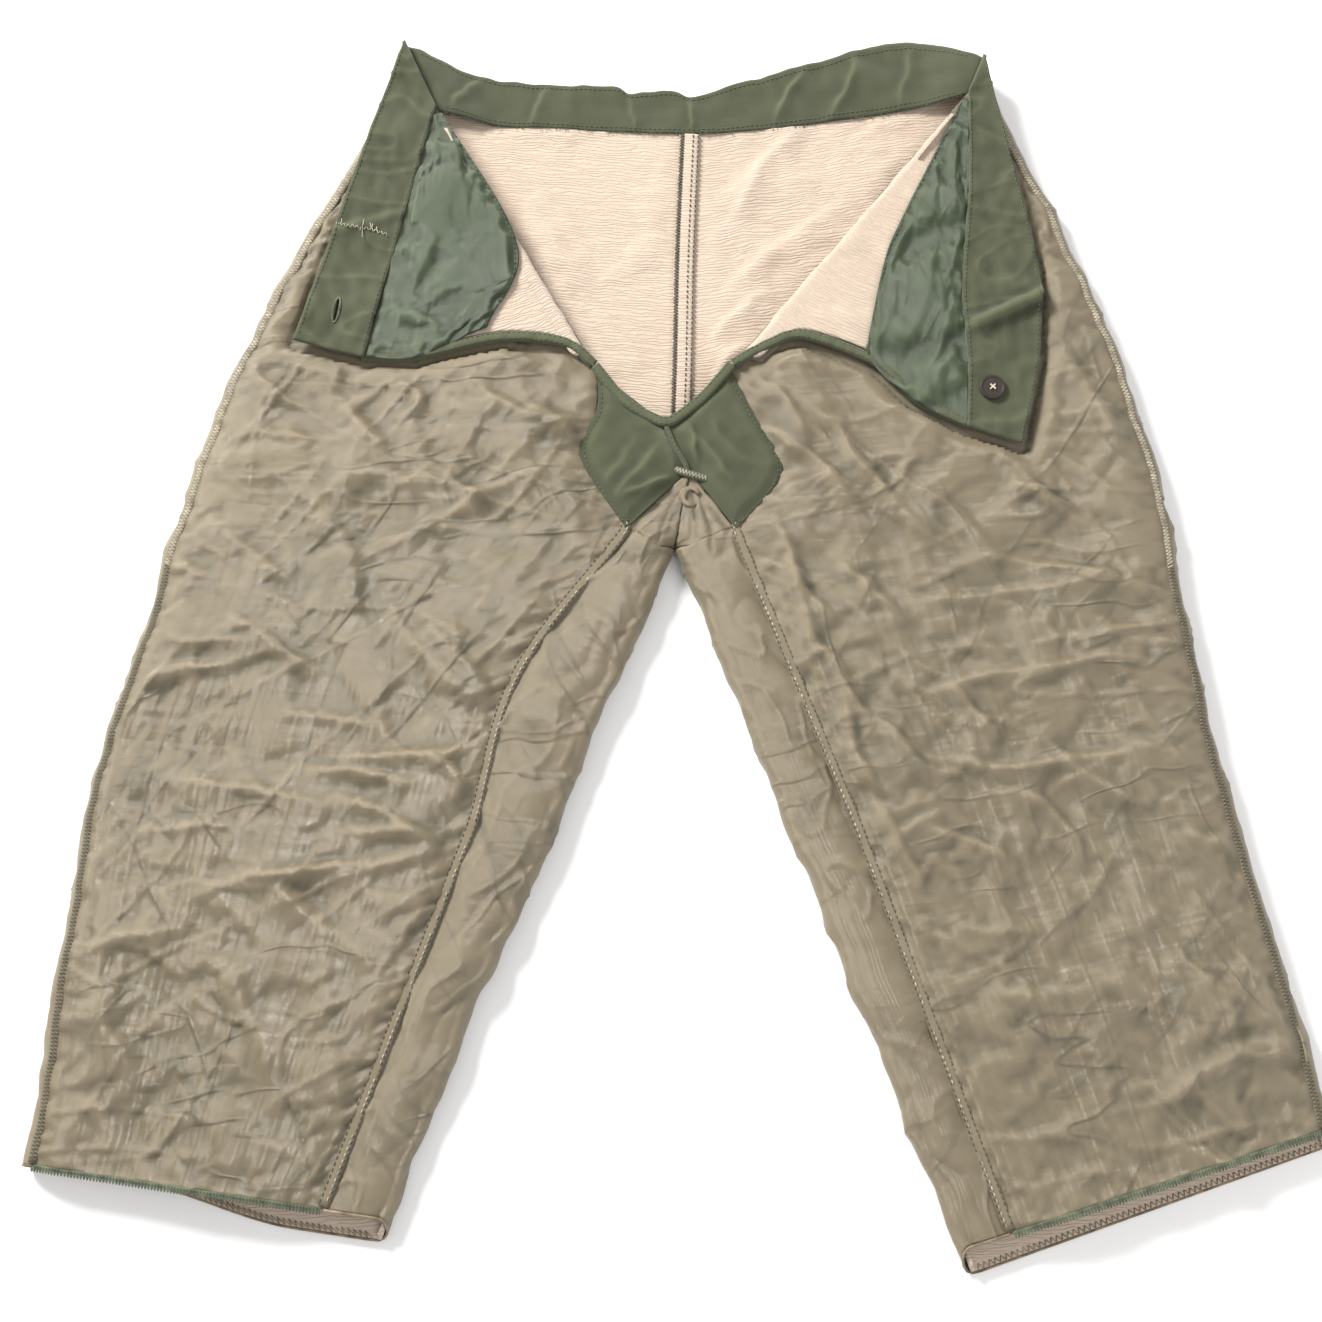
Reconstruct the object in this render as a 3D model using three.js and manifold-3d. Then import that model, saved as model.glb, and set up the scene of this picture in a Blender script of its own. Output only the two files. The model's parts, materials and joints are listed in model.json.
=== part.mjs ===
// Cold-weather trouser liner, laid on its back with the fly open and both fronts turned outwards.
// Millimetres, +Z up, waist towards +Y, hems towards -Y. Every cloth layer is a flat plate here:
// back shell, back pile lining, air, front pile lining, front shell, and the turned-back flaps on top.
import * as THREE from 'three';
import { mergeVertices } from 'three/addons/utils/BufferGeometryUtils.js';
import Module from 'manifold-3d';

const wasm = await Module();
wasm.setup();

// Cloth, from the floor up.
const shellThick = 1.2;
const pileThick = 2.8;
const airHeight = 8.8;
const layerGap = 0.3;
const bandThick = 3.5;
const ridgeThick = 1.5;

// Widths of the narrow pieces.
const lipWidth = 7;
const inseamWidth = 8;
const outseamWidth = 6;
const bindingWidth = 7;
const backSeamWidth = 16;
const crotchSeamWidth = 5;
const hemWidth = 5;
const hemDrop = 12;

// Clearances of the moving pieces. The side wall ends are shares of the way from the waist's corner down.
const foldGap = 0.8;
const kneeGap = 0.8;
const flapLift = 2.4;
const footClear = 6;
const sideWallEnds = [0.3, 0.9];

// The button, its holes and the buttonhole.
const buttonRadius = 8.5;
const buttonThick = 2.8;
const buttonRim = 0.7;
const holeRadius = 0.9;
const holeSpacing = 3;
const threadRadius = 0.45;
const buttonholeLength = 19;
const buttonholeWidth = 5;
const stitchWidth = 1.6;
const bartackLength = 30;

const point = (x, y) => new THREE.Vector2(x, y);
const degrees = THREE.MathUtils.degToRad;

// Heights that follow from the cloth.
const liningLow = shellThick + layerGap;
const liningTop = liningLow + pileThick;
const frontLiningLow = liningTop + airHeight;
const frontLiningTop = frontLiningLow + pileThick;
const frontShellLow = frontLiningTop + layerGap;
const bodyTop = frontShellLow + shellThick;
const ridgeLow = bodyTop + layerGap;
const ridgeTop = ridgeLow + ridgeThick;
const flapLow = bodyTop + flapLift;
const flapShellTop = flapLow + shellThick;
const flapLiningLow = flapShellTop + layerGap;
const flapLiningTop = flapLiningLow + pileThick;
const facingLow = flapLiningTop + layerGap;
const flapTop = facingLow + shellThick;
const hemLow = 0.4;

// The crotch: fork of the legs, foot of the gussets' joint and point of the open fly.
const fork = point(-9, 72);
const gussetFoot = point(1, 125);
const flyPoint = point(-15, 158);
const backCentre = point(2, 379);

// One side of the garment. Lengths and angles place the leg; the other points are the laid waist and flap.
const left = {
  name: 'left',
  side: -1,
  inseamLength: 456,
  splay: degrees(22.3),
  hemAcross: 224,
  hemTilt: degrees(8.2),
  kneeDown: 202,
  kneeAcross: 296,
  kneeTilt: degrees(6),
  inseamIn: 40,
  kneeInseamIn: 51,
  seamBow: 22,
  cornerReach: 62,
  bandSide: point(-210, 396),
  hip: point(-308, 190),
  foldTop: point(-173, 391),
  foldFoot: point(-60, 196),
  gussetTip: point(-40, 86),
  gussetOut: point(-70, 136),
  gussetTop: point(-59, 168),
  flyEdge: [point(-82, 212), point(-127, 215), point(-181, 202)],
  bandEnd: point(-216, 202),
  bandInner: [],
  bandOuter: [point(-263, 215)],
  facingEdge: [point(-115, 285), point(-134, 224)],
};
const right = {
  name: 'right',
  side: 1,
  inseamLength: 471,
  splay: degrees(21),
  hemAcross: 242,
  hemTilt: degrees(17.1),
  kneeDown: 201,
  kneeAcross: 279,
  kneeTilt: degrees(10),
  inseamIn: 33,
  kneeInseamIn: 42,
  seamBow: 0,
  cornerReach: 30,
  bandSide: point(214, 404),
  hip: point(297, 190),
  foldTop: point(195, 404),
  foldFoot: point(27, 197),
  gussetTip: point(30, 86),
  gussetOut: point(60, 125),
  gussetTop: point(42, 164),
  flyEdge: [point(53, 211), point(76, 217), point(123, 198), point(150, 171)],
  bandEnd: point(184, 153),
  bandInner: [point(189, 250)],
  bandOuter: [point(219, 141), point(233, 200), point(236, 265), point(222, 346)],
  facingEdge: [point(147, 308), point(132, 270), point(120, 216)],
};
const bandTop = [point(-150, 423), point(-52, 414), point(3, 409), point(60, 426), point(140, 448)];
const bandLow = [point(-90, 383), backCentre, point(95, 388)];
const bandJoins = [-50, 3];
const buttonPlace = point(201, 180);
const buttonholePlace = point(-235, 236);
const bartackPlace = point(-221, 294);

function cloth(color, roughness) {
  return new THREE.MeshStandardMaterial({ color, roughness, metalness: 0 });
}

const finish = {
  nylon: () => cloth(0x9a8f78, 0.45),
  pile: () => cloth(0xe6d6bf, 0.95),
  twill: () => cloth(0x4b5d45, 0.85),
  facing: () => cloth(0x4f6a54, 0.4),
  thread: () => cloth(0x8c8a76, 0.8),
  greenThread: () => cloth(0x55644c, 0.8),
  button: () => cloth(0x2b211c, 0.35),
};

// A polyline moved sideways, to the left of its direction when the distance is positive.
// An end with a cut direction slides along that cut, so that pieces meet squarely there.
function moved(line, distance) {
  const sideways = line.map((p, i) => {
    const before = line[Math.max(i - 1, 0)];
    const after = line[Math.min(i + 1, line.length - 1)];
    const along = after.clone().sub(before).normalize();
    const normal = point(-along.y, along.x);
    const cut = line.cuts?.[i];
    const way = cut ? cut.clone().divideScalar(cut.dot(normal)) : normal;
    return p.clone().addScaledVector(way, distance);
  });
  return Object.assign(sideways, { cuts: line.cuts });
}

function withCuts(line, startCut, endCut) {
  return Object.assign(line, { cuts: { 0: startCut, [line.length - 1]: endCut } });
}

// Where the line through a and b crosses the line through c and d.
function crossing(a, b, c, d) {
  const along = b.clone().sub(a);
  const other = d.clone().sub(c);
  return a.clone().addScaledVector(along, c.clone().sub(a).cross(other) / along.cross(other));
}

function strip(line, from, to) {
  return [...moved(line, from), ...moved(line, to).reverse()];
}

// A closed outline with every edge drawn in by the same distance.
function drawnIn(outline, distance) {
  const inwards = THREE.ShapeUtils.isClockWise(outline) ? -distance : distance;
  const count = outline.length;
  return outline.map((p, i) => {
    const before = p.clone().sub(outline[(i + count - 1) % count]).normalize();
    const after = outline[(i + 1) % count].clone().sub(p).normalize();
    const bisector = point(-before.y - after.y, before.x + after.x).normalize();
    const reach = Math.min(1 / Math.max(bisector.dot(point(-before.y, before.x)), 0.3), 3);
    return p.clone().addScaledVector(bisector, inwards * reach);
  });
}

function smooth(keyPoints, divisions) {
  return new THREE.SplineCurve(keyPoints).getPoints(divisions);
}

function lerp(a, b, share) {
  return a.clone().lerp(b, share);
}

function plate(outline, low, top, holes = []) {
  const shape = new THREE.Shape(outline);
  shape.holes = holes.map((hole) => new THREE.Path(hole));
  const geometry = new THREE.ExtrudeGeometry(shape, { depth: top - low, bevelEnabled: false, steps: 1 });
  return geometry.translate(0, 0, low);
}

function solid(geometry) {
  const bare = geometry.clone();
  bare.deleteAttribute('normal');
  bare.deleteAttribute('uv');
  const merged = mergeVertices(bare, 1e-4);
  return new wasm.Manifold(new wasm.Mesh({
    numProp: 3,
    vertProperties: new Float32Array(merged.attributes.position.array),
    triVerts: new Uint32Array(merged.index.array),
  }));
}

function surface(manifold) {
  const mesh = manifold.getMesh();
  const geometry = new THREE.BufferGeometry();
  geometry.setAttribute('position', new THREE.BufferAttribute(mesh.vertProperties, 3));
  geometry.setIndex(new THREE.BufferAttribute(mesh.triVerts, 1));
  geometry.computeVertexNormals();
  return geometry;
}

function joined(...geometries) {
  return surface(geometries.map(solid).reduce((whole, next) => whole.add(next)));
}

function box(x, y, z) {
  return new THREE.BoxGeometry(x, y, z);
}

const garment = new THREE.Group();

function addPiece(name, geometry, material) {
  const mesh = new THREE.Mesh(geometry, material);
  mesh.name = name;
  garment.add(mesh);
}

// The edges and seams of one leg, each from the top down, in two stretches that meet at the knee fold.
function legLines(s) {
  const down = point(s.side * Math.sin(s.splay), -Math.cos(s.splay));
  const acrossHem = point(s.side * Math.cos(s.hemTilt), Math.sin(s.hemTilt));
  const acrossKnee = point(s.side * Math.cos(s.kneeTilt), Math.sin(s.kneeTilt));
  const hemInner = fork.clone().addScaledVector(down, s.inseamLength);
  const hemOuter = hemInner.clone().addScaledVector(acrossHem, s.hemAcross);
  const hemSeam = hemInner.clone().addScaledVector(acrossHem, s.inseamIn);
  const kneeInner = fork.clone().addScaledVector(down, s.kneeDown);
  const kneeOuter = kneeInner.clone().addScaledVector(acrossKnee, s.kneeAcross);
  const kneeSeam = kneeInner.clone().addScaledVector(acrossKnee, s.kneeInseamIn);
  const seamMiddle = lerp(s.gussetTip, kneeSeam, 0.5).add(point(s.side * s.seamBow, 0));
  const hemDown = point(acrossHem.y, -acrossHem.x).multiplyScalar(s.side);
  const shift = (list, distance) => list.map((p) => point(p.x, p.y + distance));
  const half = kneeGap / 2;
  return {
    hemDown,
    kneeInner,
    kneeOuter,
    thigh: {
      outer: withCuts(smooth([s.bandSide, s.hip, ...shift([kneeOuter], half)], 8), null, acrossKnee),
      inner: withCuts(smooth([fork, ...shift([kneeInner], half)], 2), null, acrossKnee),
      seam: withCuts(smooth([s.gussetTip, seamMiddle, ...shift([kneeSeam], half)], 5), null, acrossKnee),
    },
    shin: {
      outer: withCuts(smooth([...shift([kneeOuter], -half), hemOuter], 3), acrossKnee, acrossHem),
      inner: withCuts(smooth([...shift([kneeInner], -half), hemInner], 3), acrossKnee, acrossHem),
      seam: withCuts(smooth([...shift([kneeSeam], -half), hemSeam], 3), acrossKnee, acrossHem),
    },
  };
}

const last = (line) => line[line.length - 1];

// The side corner of the waist, at the head of the flap's fold line.
function cornerOf(s) {
  return s.foldTop.clone().sub(s.foldFoot).setLength(s.cornerReach).add(s.foldTop);
}

// Where the centre back seam parts the two halves, as a point of one half.
function centreLine(s, share) {
  return lerp(fork, backCentre, share).add(point(s.side * layerGap / 2, 0));
}

// The waistband's lower edge round the back, from side to side.
const bandLowEdge = smooth([left.bandSide, left.foldTop, ...bandLow, right.foldTop, right.bandSide], 24);

// The edge of the back panel under the waistband, from the centre to the side.
function underBand(s) {
  const mine = bandLowEdge.filter((p) => s.side * (p.x - backCentre.x) > 1);
  const outwards = s.side > 0 ? mine : mine.reverse();
  return [centreLine(s, 1), ...outwards].map((p) => point(p.x, p.y - layerGap));
}

// The back panel of a thigh: floor plate, both side walls, and the lips that come over the top to the seams.
function thighWrap(s, lines, inset, thick, low, top) {
  const { outer, inner, seam } = lines.thigh;
  const outerIn = moved(outer, -s.side * inset);
  const innerIn = moved(inner, s.side * inset);
  const floor = [...outerIn, ...innerIn.slice().reverse(), centreLine(s, 0.02), ...underBand(s).slice(0, -1)];
  const footing = [lerp(s.gussetTip, gussetFoot, 0.96), lerp(gussetFoot, centreLine(s, 0.02), 0.3)];
  const overTop = [...footing, ...innerIn, ...moved(seam, s.side * layerGap / 2).reverse()];
  return joined(
    plate(floor, low, low + thick),
    plate(strip(outer, -s.side * inset, -s.side * (inset + thick)), low, top),
    plate(strip(outer, -s.side * inset, -s.side * lipWidth), top - thick, top),
    plate(strip(inner, s.side * inset, s.side * (inset + thick)), low, top),
    plate(overTop, top - thick, top),
  );
}

// The same below the knee fold. The back hem hangs lower than the front one.
function shinWrap(s, lines, inset, thick, low, top) {
  const { outer, inner, seam } = lines.shin;
  const outerIn = moved(outer, -s.side * inset);
  const innerIn = moved(inner, s.side * inset);
  const drop = lines.hemDown.clone().multiplyScalar(hemDrop);
  const lowered = (line) => last(line).clone().add(drop);
  const floor = [...outerIn, lowered(outerIn), lowered(innerIn), ...innerIn.reverse()];
  const overTop = [...moved(inner, s.side * inset), ...moved(seam, s.side * layerGap / 2).reverse()];
  return joined(
    plate(floor, low, low + thick),
    plate(strip(outer, -s.side * inset, -s.side * (inset + thick)), low, top),
    plate(strip(outer, -s.side * inset, -s.side * lipWidth), top - thick, top),
    plate(strip(inner, s.side * inset, s.side * (inset + thick)), low, top),
    plate(overTop, top - thick, top),
  );
}

function thighFront(s, lines, low, top) {
  const { outer, seam } = lines.thigh;
  const crotch = [s.gussetTip, s.gussetOut, s.gussetTop, s.foldFoot];
  const side = moved(outer, -s.side * (lipWidth + layerGap));
  const outline = [...side, ...seam.slice(1).reverse(), ...crotch, s.foldTop];
  return plate(drawnIn(outline, foldGap / 2), low, top);
}

function shinFront(s, lines, low, top) {
  const { outer, seam } = lines.shin;
  const outline = [...moved(outer, -s.side * (lipWidth + layerGap)), ...seam.slice().reverse()];
  return plate(drawnIn(outline, foldGap / 2), low, top);
}

// The overlocked hem is one ring: a front strip, a lower back strip and a turn at each side.
function hemRing(s, lines) {
  const sides = { outer: last(lines.shin.outer), inner: last(lines.shin.inner) };
  const at = (corner, away) => corner.clone().addScaledVector(lines.hemDown, away);
  const band = (from) => [at(sides.outer, from), at(sides.outer, from + hemWidth),
    at(sides.inner, from + hemWidth), at(sides.inner, from)];
  const turn = (corner, other, from) => {
    const inner = lerp(corner, other, lipWidth / s.hemAcross / 2);
    const to = hemDrop + hemWidth;
    return [at(corner, from), at(corner, to), at(inner, to), at(inner, from)];
  };
  const turnedUp = (corner, other) => [
    plate(turn(corner, other, layerGap), liningTop + layerGap, bodyTop),
    plate(turn(corner, other, hemDrop + layerGap), hemLow, bodyTop),
  ];
  return joined(
    plate(band(layerGap), frontLiningLow, bodyTop),
    plate(band(hemDrop + layerGap), hemLow, liningTop),
    ...turnedUp(sides.outer, sides.inner),
    ...turnedUp(sides.inner, sides.outer),
  );
}

function addLeg(s) {
  const lines = legLines(s);
  const lining = [liningLow, pileThick, liningLow, frontLiningTop];
  const shell = [0, shellThick, 0, bodyTop];
  addPiece(`${s.name}_back_shell`, thighWrap(s, lines, ...shell), finish.nylon());
  addPiece(`${s.name}_back_lining`, thighWrap(s, lines, ...lining), finish.pile());
  addPiece(`${s.name}_front_shell`, thighFront(s, lines, frontShellLow, bodyTop), finish.nylon());
  addPiece(`${s.name}_front_lining`, thighFront(s, lines, frontLiningLow, frontLiningTop), finish.pile());
  addPiece(`${s.name}_lower_back_shell`, shinWrap(s, lines, ...shell), finish.nylon());
  addPiece(`${s.name}_lower_back_lining`, shinWrap(s, lines, ...lining), finish.pile());
  addPiece(`${s.name}_lower_front_shell`, shinFront(s, lines, frontShellLow, bodyTop), finish.nylon());
  addPiece(`${s.name}_lower_front_lining`, shinFront(s, lines, frontLiningLow, frontLiningTop), finish.pile());
  for (const [stretch, prefix] of [[lines.thigh, s.name], [lines.shin, `${s.name}_lower`]]) {
    const outseam = moved(stretch.outer, -s.side * lipWidth);
    const inseamStrip = strip(stretch.seam, -inseamWidth / 2, inseamWidth / 2);
    addPiece(`${prefix}_inseam`, plate(inseamStrip, ridgeLow, ridgeTop), finish.thread());
    const outseamStrip = strip(outseam, -outseamWidth / 2, outseamWidth / 2);
    addPiece(`${prefix}_outseam`, plate(outseamStrip, ridgeLow, ridgeTop), finish.thread());
  }
  addPiece(`${s.name}_hem_overlock`, hemRing(s, lines), finish.greenThread());
}

function addGusset(s) {
  const outline = [s.gussetTop, s.gussetOut, s.gussetTip, gussetFoot, flyPoint];
  addPiece(`${s.name}_gusset`, plate(drawnIn(outline, foldGap / 2), frontShellLow, bodyTop), finish.twill());
}

// Pieces of the crotch and seat that both halves share.
function addCentre() {
  const vee = [lerp(flyPoint, left.foldFoot, 0.9), flyPoint, lerp(flyPoint, right.foldFoot, 0.9)];
  const half = bindingWidth / 2;
  addPiece('fly_point_binding', plate(strip(vee, -half, half), ridgeLow, ridgeTop), finish.twill());
  const seam = [lerp(flyPoint, gussetFoot, 0.3), gussetFoot, lerp(gussetFoot, fork, 0.9)];
  const crotch = strip(seam, -crotchSeamWidth / 2, crotchSeamWidth / 2);
  addPiece('crotch_seam', plate(crotch, ridgeLow, ridgeTop), finish.thread());
  const centre = [lerp(backCentre, fork, 0.005), lerp(fork, backCentre, 0.08)];
  const back = strip(centre, -backSeamWidth / 2, backSeamWidth / 2);
  const seamLow = liningTop + layerGap;
  addPiece('centre_back_seam', plate(back, seamLow, seamLow + ridgeThick), finish.thread());
}

// The back waistband in three cut lengths. At each side it comes up round the edge to the flap's fold.
function addBackWaistband() {
  const above = smooth([cornerOf(left), ...bandTop, cornerOf(right)], 20);
  const between = (line, from, to) => line.filter((p) => p.x > from + 2 && p.x < to - 2);
  const cut = (line, x) => {
    const i = line.findIndex((p) => p.x > x);
    const share = (x - line[i - 1].x) / (line[i].x - line[i - 1].x);
    return lerp(line[i - 1], line[i], share);
  };
  const length = (from, to) => {
    const start = [Number.isFinite(from) ? cut(above, from) : above[0]];
    const end = [Number.isFinite(to) ? cut(above, to) : last(above)];
    const lowStart = [Number.isFinite(from) ? cut(bandLowEdge, from) : bandLowEdge[0]];
    const lowEnd = [Number.isFinite(to) ? cut(bandLowEdge, to) : last(bandLowEdge)];
    const top = [...start, ...between(above, start[0].x, end[0].x), ...end];
    const low = [...lowStart, ...between(bandLowEdge, lowStart[0].x, lowEnd[0].x), ...lowEnd];
    return drawnIn([...top, ...low.reverse()], layerGap / 2);
  };
  const turnedUp = (s) => {
    const side = sideWallEnds.map((share) => lerp(cornerOf(s), s.bandSide, share));
    const wall = strip(side, s.side * -layerGap, s.side * -(layerGap + bandThick));
    const over = drawnIn([cornerOf(s), s.foldTop, s.bandSide], foldGap / 2);
    return [plate(wall, 0, bodyTop), plate(over, frontLiningLow, bodyTop)];
  };
  const piece = (name, from, to, extra) => {
    const whole = joined(plate(length(from, to), 0, bandThick), ...extra);
    addPiece(name, whole, finish.twill());
  };
  piece('back_waistband_left', -Infinity, bandJoins[0], turnedUp(left));
  piece('back_waistband_centre', bandJoins[0], bandJoins[1], []);
  piece('back_waistband_right', bandJoins[1], Infinity, turnedUp(right));
}

// A front turned back on its leg: shell, pile, facing, waistband and the bound fly edge.
function addFlap(s) {
  const upFold = s.foldTop.clone().sub(s.foldFoot).setLength(footClear);
  const fly = [s.foldFoot.clone().add(upFold), ...s.flyEdge, s.bandEnd];
  const bandSideLine = s.bandInner.slice().reverse();
  const offset = moved(fly, s.side * bindingWidth);
  const flyIn = [
    crossing(offset[0], offset[1], s.foldFoot, s.foldTop),
    ...offset.slice(1, -1),
    crossing(offset.at(-2), offset.at(-1), s.bandEnd, bandSideLine[0] ?? s.foldTop),
  ];
  const body = [s.foldTop, ...flyIn, ...bandSideLine];
  const half = foldGap / 2;
  addPiece(`${s.name}_flap_shell`, plate(drawnIn(body, half), flapLow, flapShellTop), finish.nylon());
  addPiece(`${s.name}_flap_lining`, plate(drawnIn(body, half), flapLiningLow, flapLiningTop), finish.pile());
  const facing = [s.foldTop, ...s.facingEdge, ...flyIn.slice(-2), ...bandSideLine];
  addPiece(`${s.name}_fly_facing`, plate(drawnIn(facing, foldGap), facingLow, flapTop), finish.facing());
  const foldHead = lerp(s.foldTop, cornerOf(s), 0.9);
  const band = [foldHead, s.foldTop, ...s.bandInner, s.bandEnd, ...s.bandOuter];
  const holes = s.name === 'left' ? [slot(buttonholePlace, buttonholeWidth, buttonholeLength)] : [];
  const bandPlate = plate(drawnIn(band, half), flapLow, flapTop, holes);
  addPiece(`${s.name}_waistband_front`, bandPlate, finish.twill());
  const edge = drawnIn([...fly, ...flyIn.slice().reverse()], half / 2);
  addPiece(`${s.name}_fly_binding`, plate(edge, flapLow, flapLiningTop), finish.twill());
}

function slot(centre, width, length) {
  const x = width / 2;
  const y = length / 2 - x;
  const shape = new THREE.Shape();
  shape.absarc(centre.x, centre.y + y, x, 0, Math.PI);
  shape.absarc(centre.x, centre.y - y, x, Math.PI, 2 * Math.PI);
  return shape.getPoints(4);
}

// Stitching on the left waistband, and the button with its thread on the right one.
function addFastening() {
  const stitchLow = flapTop + layerGap;
  const stitchTop = stitchLow + layerGap * 2;
  const { x, y } = buttonholePlace;
  const rim = slot(point(x, y), buttonholeWidth + 2 * stitchWidth, buttonholeLength + 2 * stitchWidth);
  const eye = slot(point(x, y), buttonholeWidth, buttonholeLength);
  addPiece('buttonhole_stitching', plate(rim, stitchLow, stitchTop, [eye]), finish.greenThread());
  const bartack = box(bartackLength, stitchWidth, stitchTop - stitchLow);
  bartack.translate(bartackPlace.x, bartackPlace.y, (stitchLow + stitchTop) / 2);
  addPiece('waistband_bartack', bartack, finish.thread());
  const dish = buttonThick - buttonRim;
  const profile = [
    point(0, 0), point(buttonRadius - buttonRim, 0), point(buttonRadius, buttonRim),
    point(buttonRadius, dish), point(buttonRadius - buttonRim, buttonThick),
    point(buttonRadius - 2 * buttonRim, buttonThick), point(buttonRadius - 3 * buttonRim, dish),
    point(0, dish),
  ];
  const disc = new THREE.LatheGeometry(profile, 32).rotateX(Math.PI / 2);
  const pegs = (radius, low, high) => [-1, 1].flatMap((i) => [-1, 1].map((j) => {
    const peg = new THREE.CylinderGeometry(radius, radius, high - low, 12).rotateX(Math.PI / 2);
    return peg.translate(i * holeSpacing / 2, j * holeSpacing / 2, (low + high) / 2);
  }));
  const drilled = pegs(holeRadius, -1, buttonThick + 1).map(solid)
    .reduce((whole, hole) => whole.subtract(hole), solid(disc));
  const button = surface(drilled);
  button.translate(buttonPlace.x, buttonPlace.y, stitchLow);
  addPiece('button', button, finish.button());
  const barTop = dish + layerGap + 2 * threadRadius;
  const bar = box(holeSpacing * Math.SQRT2 + threadRadius, 2 * threadRadius, 2 * threadRadius);
  bar.translate(0, 0, barTop - threadRadius);
  const bars = [1, 3].map((turn) => bar.clone().rotateZ(turn * Math.PI / 4));
  const thread = joined(...bars, ...pegs(threadRadius, 0, barTop - threadRadius));
  thread.translate(buttonPlace.x, buttonPlace.y, stitchLow);
  addPiece('button_thread', thread, finish.thread());
}

for (const s of [left, right]) {
  addLeg(s);
  addGusset(s);
  addFlap(s);
}
addCentre();
addBackWaistband();
addFastening();

// The origin is on the floor, under the middle of the garment's box.
const extent = new THREE.Box3().setFromObject(garment);
const middle = extent.getCenter(new THREE.Vector3());
garment.position.set(-middle.x, -middle.y, -extent.min.z);

const liner = new THREE.Group();
liner.add(garment);

export default liner;
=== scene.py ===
import json
import math

import bpy
import numpy as np
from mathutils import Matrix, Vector


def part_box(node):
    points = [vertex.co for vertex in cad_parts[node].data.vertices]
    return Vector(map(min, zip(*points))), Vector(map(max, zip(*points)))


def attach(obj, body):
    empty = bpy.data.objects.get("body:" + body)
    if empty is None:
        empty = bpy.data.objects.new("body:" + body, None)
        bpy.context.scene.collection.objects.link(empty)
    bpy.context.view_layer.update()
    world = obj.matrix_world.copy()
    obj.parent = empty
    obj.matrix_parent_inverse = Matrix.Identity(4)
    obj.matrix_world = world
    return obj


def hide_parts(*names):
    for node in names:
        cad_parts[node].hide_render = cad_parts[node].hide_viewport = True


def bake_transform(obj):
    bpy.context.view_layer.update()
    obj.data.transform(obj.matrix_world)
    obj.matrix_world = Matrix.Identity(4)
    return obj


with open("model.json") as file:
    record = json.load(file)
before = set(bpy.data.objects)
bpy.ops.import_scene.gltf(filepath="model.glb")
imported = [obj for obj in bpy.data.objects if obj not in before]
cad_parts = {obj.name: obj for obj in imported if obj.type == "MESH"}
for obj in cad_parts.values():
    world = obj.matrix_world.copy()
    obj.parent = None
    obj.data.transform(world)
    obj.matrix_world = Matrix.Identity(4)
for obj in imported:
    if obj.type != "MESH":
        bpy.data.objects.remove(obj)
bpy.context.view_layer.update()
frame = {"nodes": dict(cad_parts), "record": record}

bl_info = {
    "name": "Trouser Liner",
    "version": (1, 0, 0),
    "blender": (4, 5, 0),
    "location": "View3D > Sidebar > Liner",
    "description": "Builds a pile-lined trouser liner, laid on its back with the fly open",
    "category": "Object",
}

MM = 0.001
RECORD = frame["record"]
JOINTS = {j["name"]: j for j in RECORD["behaviour"]["joints"]}


def middle(node):
    """The middle of a node's box at rest."""
    low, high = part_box(node)
    return (np.array(low) + np.array(high)) / 2


# The garment is drawn in millimetres from the middle of its waist. The button ties that to the frame.
BUTTON_PLACE = np.array((201.0, 180.0))
OFFSET = middle("button")[:2] / MM - BUTTON_PLACE

BODY_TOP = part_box("left_front_shell")[1][2] / MM
FLAP_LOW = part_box("left_flap_shell")[0][2] / MM
FLAP_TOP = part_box("left_waistband_front")[1][2] / MM
TUBE_R = BODY_TOP / 2

# Heights of the turned-back cloths: where the pile and the nylon pass under the fold, and the pile on top.
PILE_UNDER = 13.8
NYLON_UNDER = 17.4
PILE_OVER = FLAP_TOP - 2.6
FLAP_ROLL = 5.3
# The heights between which a rolled cloth was to turn from following the trouser to following the flap;
# nothing blends it between them.
PILE_TURN = (14.4, 20.4)
NYLON_TURN = (17.5, 19.7)
BAND_TURN = (15.0, 20.4)

# Points on the middle of the garment: the fork of the legs, the gussets' foot, the fly's point and the top of
# the centre back seam.
FORK = (-9, 72)
GUSSET_FOOT = (1, 125)
FLY_POINT = (-15, 158)
BACK_CENTRE = (2, 379)
LIP = 7  # how far the front panel's edge lies inside the leg's outer edge

# The buttonhole's middle, its width and length, and how far its ends lean to either side.
BUTTONHOLE = np.array((-235.0, 236.0))
SLOT = (2.0, 15.0)
SLOT_LEAN = 1.2

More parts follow.
